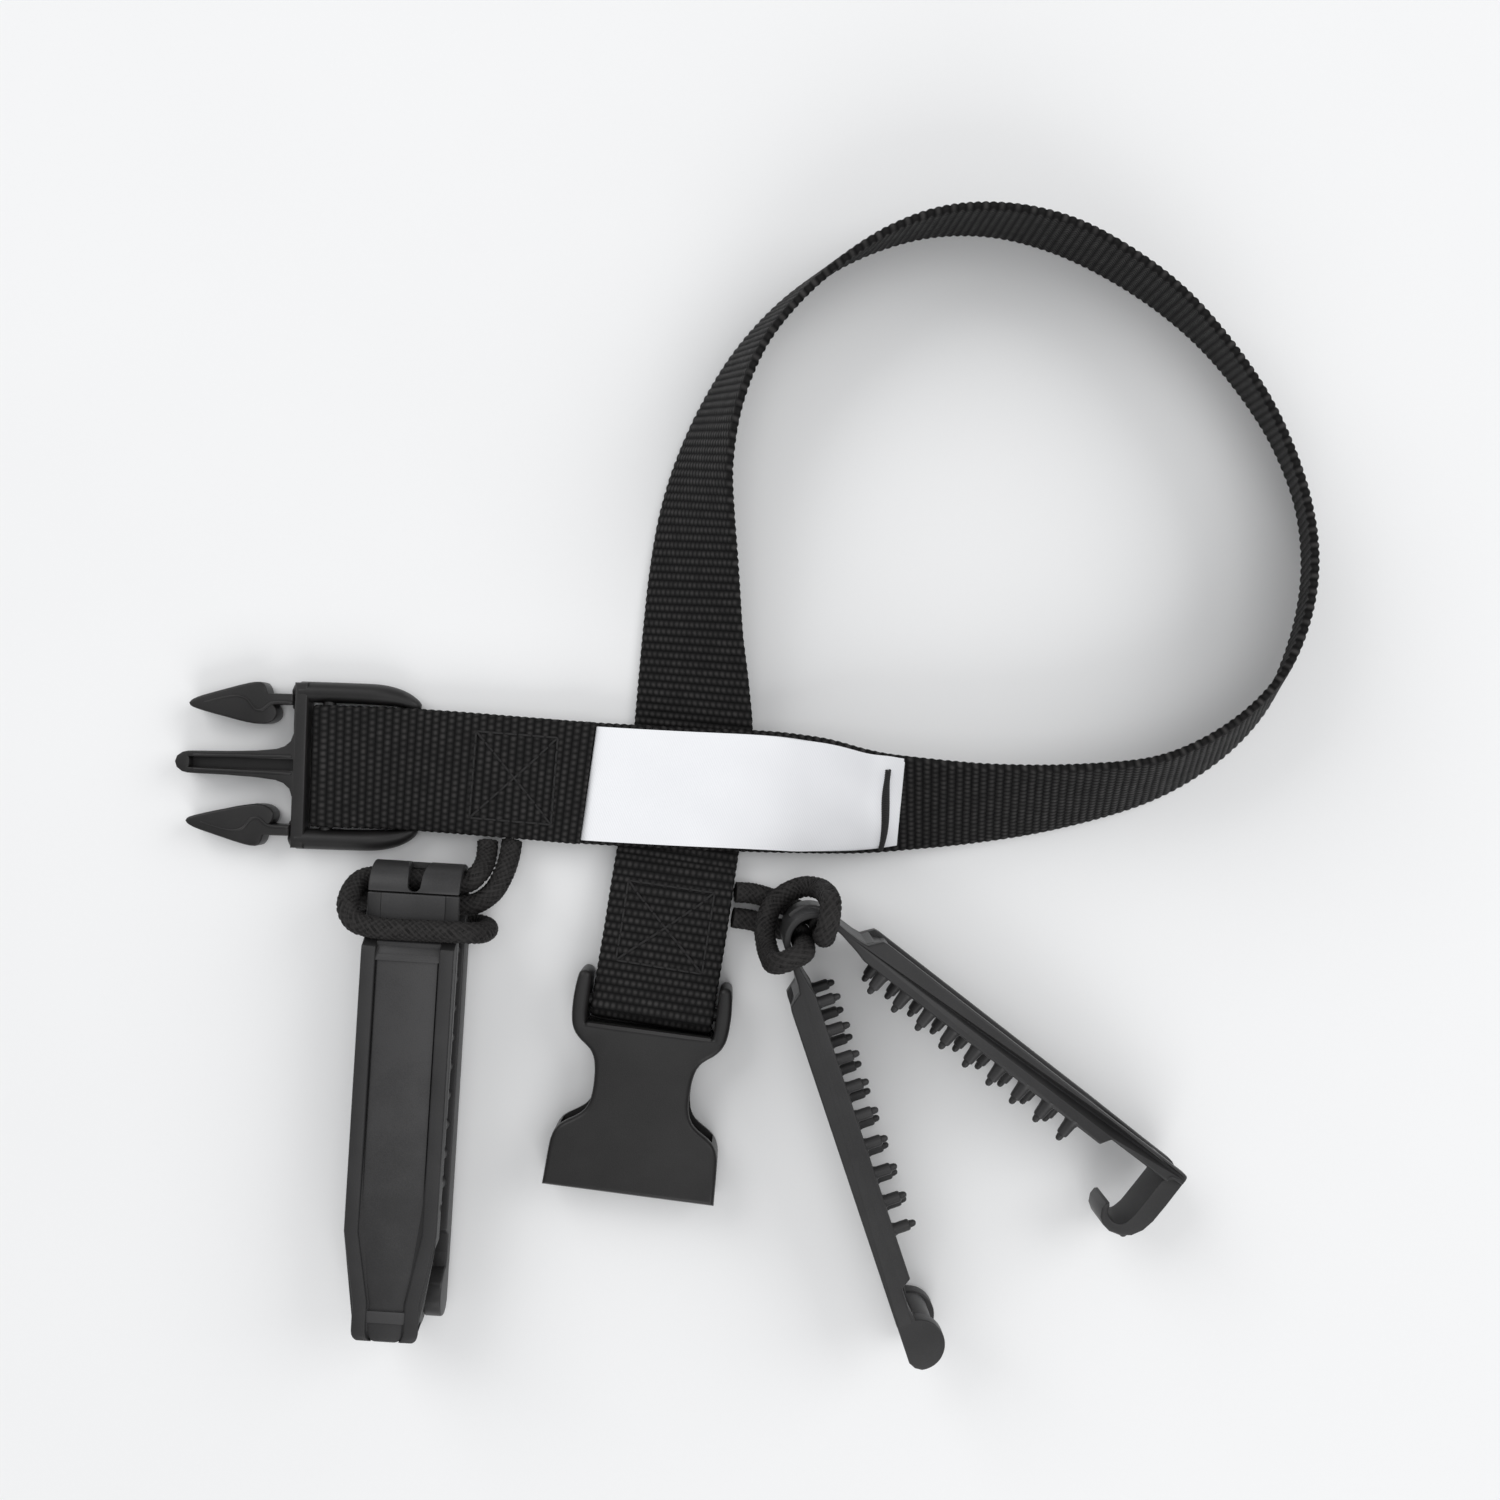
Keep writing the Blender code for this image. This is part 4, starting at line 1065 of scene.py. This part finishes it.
def make_clip(prefix, hinge, half_angle, pin_name, hook_name, bodies, finish):
    """Two jaws at equal angles about the hinge, the spring between them, and the hook that latches them."""
    pin_body, hook_body, latch_body = bodies
    pin_side = hinge @ Matrix.Rotation(-half_angle, 4, "Z")
    hook_side = hinge @ Matrix.Rotation(half_angle, 4, "Z")
    half = CLIP_WIDTH / 2

    make_band(f"{prefix}_spring", f"{prefix}_hinge_band", hinge, half_angle, finish)

    meshes = make_jaw(-1, 11.8, [(76.6, JAW_DEPTH), (77.8, JAW_DEPTH), (77.8, 5.1)], False, 74.5)
    flange = [(73.0, -8.45), (85.2, -8.45), (86.5, -7.7)] + arc(PIN_CENTRE, FLANGE_RADIUS, -12, 172, 36)
    flange += [(73.0, -5.3)]
    for low, high in ((FLANGE_INNER, half - 0.02), (0.02 - half, -FLANGE_INNER)):
        meshes.append(prism("flange", flange, low, high, rim=0.4, steps=4))
    reach = FLANGE_INNER + 1.0
    meshes.append(rod("pin", (*PIN_CENTRE, -reach), (*PIN_CENTRE, reach), PIN_RADIUS, 32))
    roll = arc((80.8, -4.8), 3.3, 0, 180, 26)
    meshes.append(prism("roll", roll, -reach, reach, rim=0.2))
    web = [(76.5, -8.3), (78.0, -8.3), (78.3, -4.6), (76.5, -4.6)]
    meshes.append(prism("web", web, -reach, reach, rim=0.2))
    item = new_object(f"{prefix}_{pin_name}_shell", join_meshes("jaw", meshes))
    settle(item, pin_side, pin_body, "clip_charcoal", finish, f"{prefix}_{pin_name}")

    tip = [(u, JAW_DEPTH) for u in (TAPER_END, 85.2, 86.6, 87.4)]
    tip += [(88.0, JAW_DEPTH - 0.1), (88.5, JAW_DEPTH - 0.4), (88.75, JAW_DEPTH - 1.0), (88.75, 6.4),
            (85.4, 6.2), (85.4, 5.1)]
    meshes = make_jaw(1, 14.8, tip, True, 82.6)
    item = new_object(f"{prefix}_{hook_name}_shell", join_meshes("jaw", meshes))
    settle(item, hook_side, hook_body, "clip_charcoal", finish, f"{prefix}_{hook_name}")

    hook = [(85.0, 6.9), (88.5, 6.9), (88.85, 6.4), (88.9, 1.0), (88.8, -3.0), (88.3, -5.6), (87.1, -7.8),
            (85.2, -9.2), (83.0, -9.85), (81.2, -9.6), (79.8, -8.7), (79.0, -7.2), (79.0, -5.8), (79.5, -5.3),
            (80.0, -5.9)]
    hook += arc(PIN_CENTRE, PIN_RADIUS + 0.4, 202, 350, 18) + [(84.95, -4.4), (85.0, 1.0)]
    meshes = [prism("latch", hook, -HOOK_HALF_WIDTH, HOOK_HALF_WIDTH, rim=0.4)]
    nub = HOOK_HALF_WIDTH - 1.0
    meshes.append(rod("nub", (85.9, -8.5, -nub), (85.9, -8.5, nub), 0.85, 16, rim=0.3))
    latch = new_object(f"{prefix}_latch", join_meshes("latch", meshes))
    settle(latch, hook_side, latch_body, "clip_charcoal", finish, f"{prefix}_latch_hook")


# ---- everything

def make_floor(finish):
    floor = new_object("floor", box_mesh("floor", (-6000, -6000, -20), (6000, 6000, 0)))
    floor.data.materials.append(finish)


def build():
    make_camera()
    cord = cord_finish("cord_black", (0.0022, 0.0021, 0.0022), (0.0270, 0.0255, 0.0250))
    closed, opened = closed_clip_matrix(), open_clip_matrix()
    make_cord("braided_closed_clip_cord", closed, CLOSED_STRAND_IN, CLOSED_HITCH, CLOSED_STRAND_OUT,
              cord)
    make_cord("braided_open_clip_cord", opened, OPEN_STRAND_IN, OPEN_HITCH, OPEN_STRAND_OUT,
              cord)
    make_lights()
    make_floor(floor_finish())

    # the thread uses the cord's finish, so its colour carries the same painted highlight on crowns and
    # painted shade between yarns
    thread = cord_finish("thread_black", (0.0035, 0.0035, 0.0037), (0.0240, 0.0235, 0.0235))
    make_webbing(webbing_finish())
    make_stitching(thread)
    make_label(satin_finish(), thread)

    buckle = moulded_plastic("buckle_black", (0.0070, 0.0068, 0.0068), (0.0170, 0.0163, 0.0163), 0.42)
    make_male_buckle(buckle)
    make_female_buckle(buckle)
    charcoal = moulded_plastic("clip_charcoal", (0.0150, 0.0147, 0.0150), (0.0300, 0.0295, 0.0300), 0.44)
    make_clip("closed_clip", closed, 0.0, "rear_jaw", "front_jaw",
              ("closed_clip", "closed_clip_front", "closed_clip_hook"), charcoal)
    make_clip("open_clip", opened, OPEN_HALF_ANGLE, "pin_jaw", "hook_jaw",
              ("open_clip", "open_clip_hook_side", "open_clip_hook"), charcoal)


build()
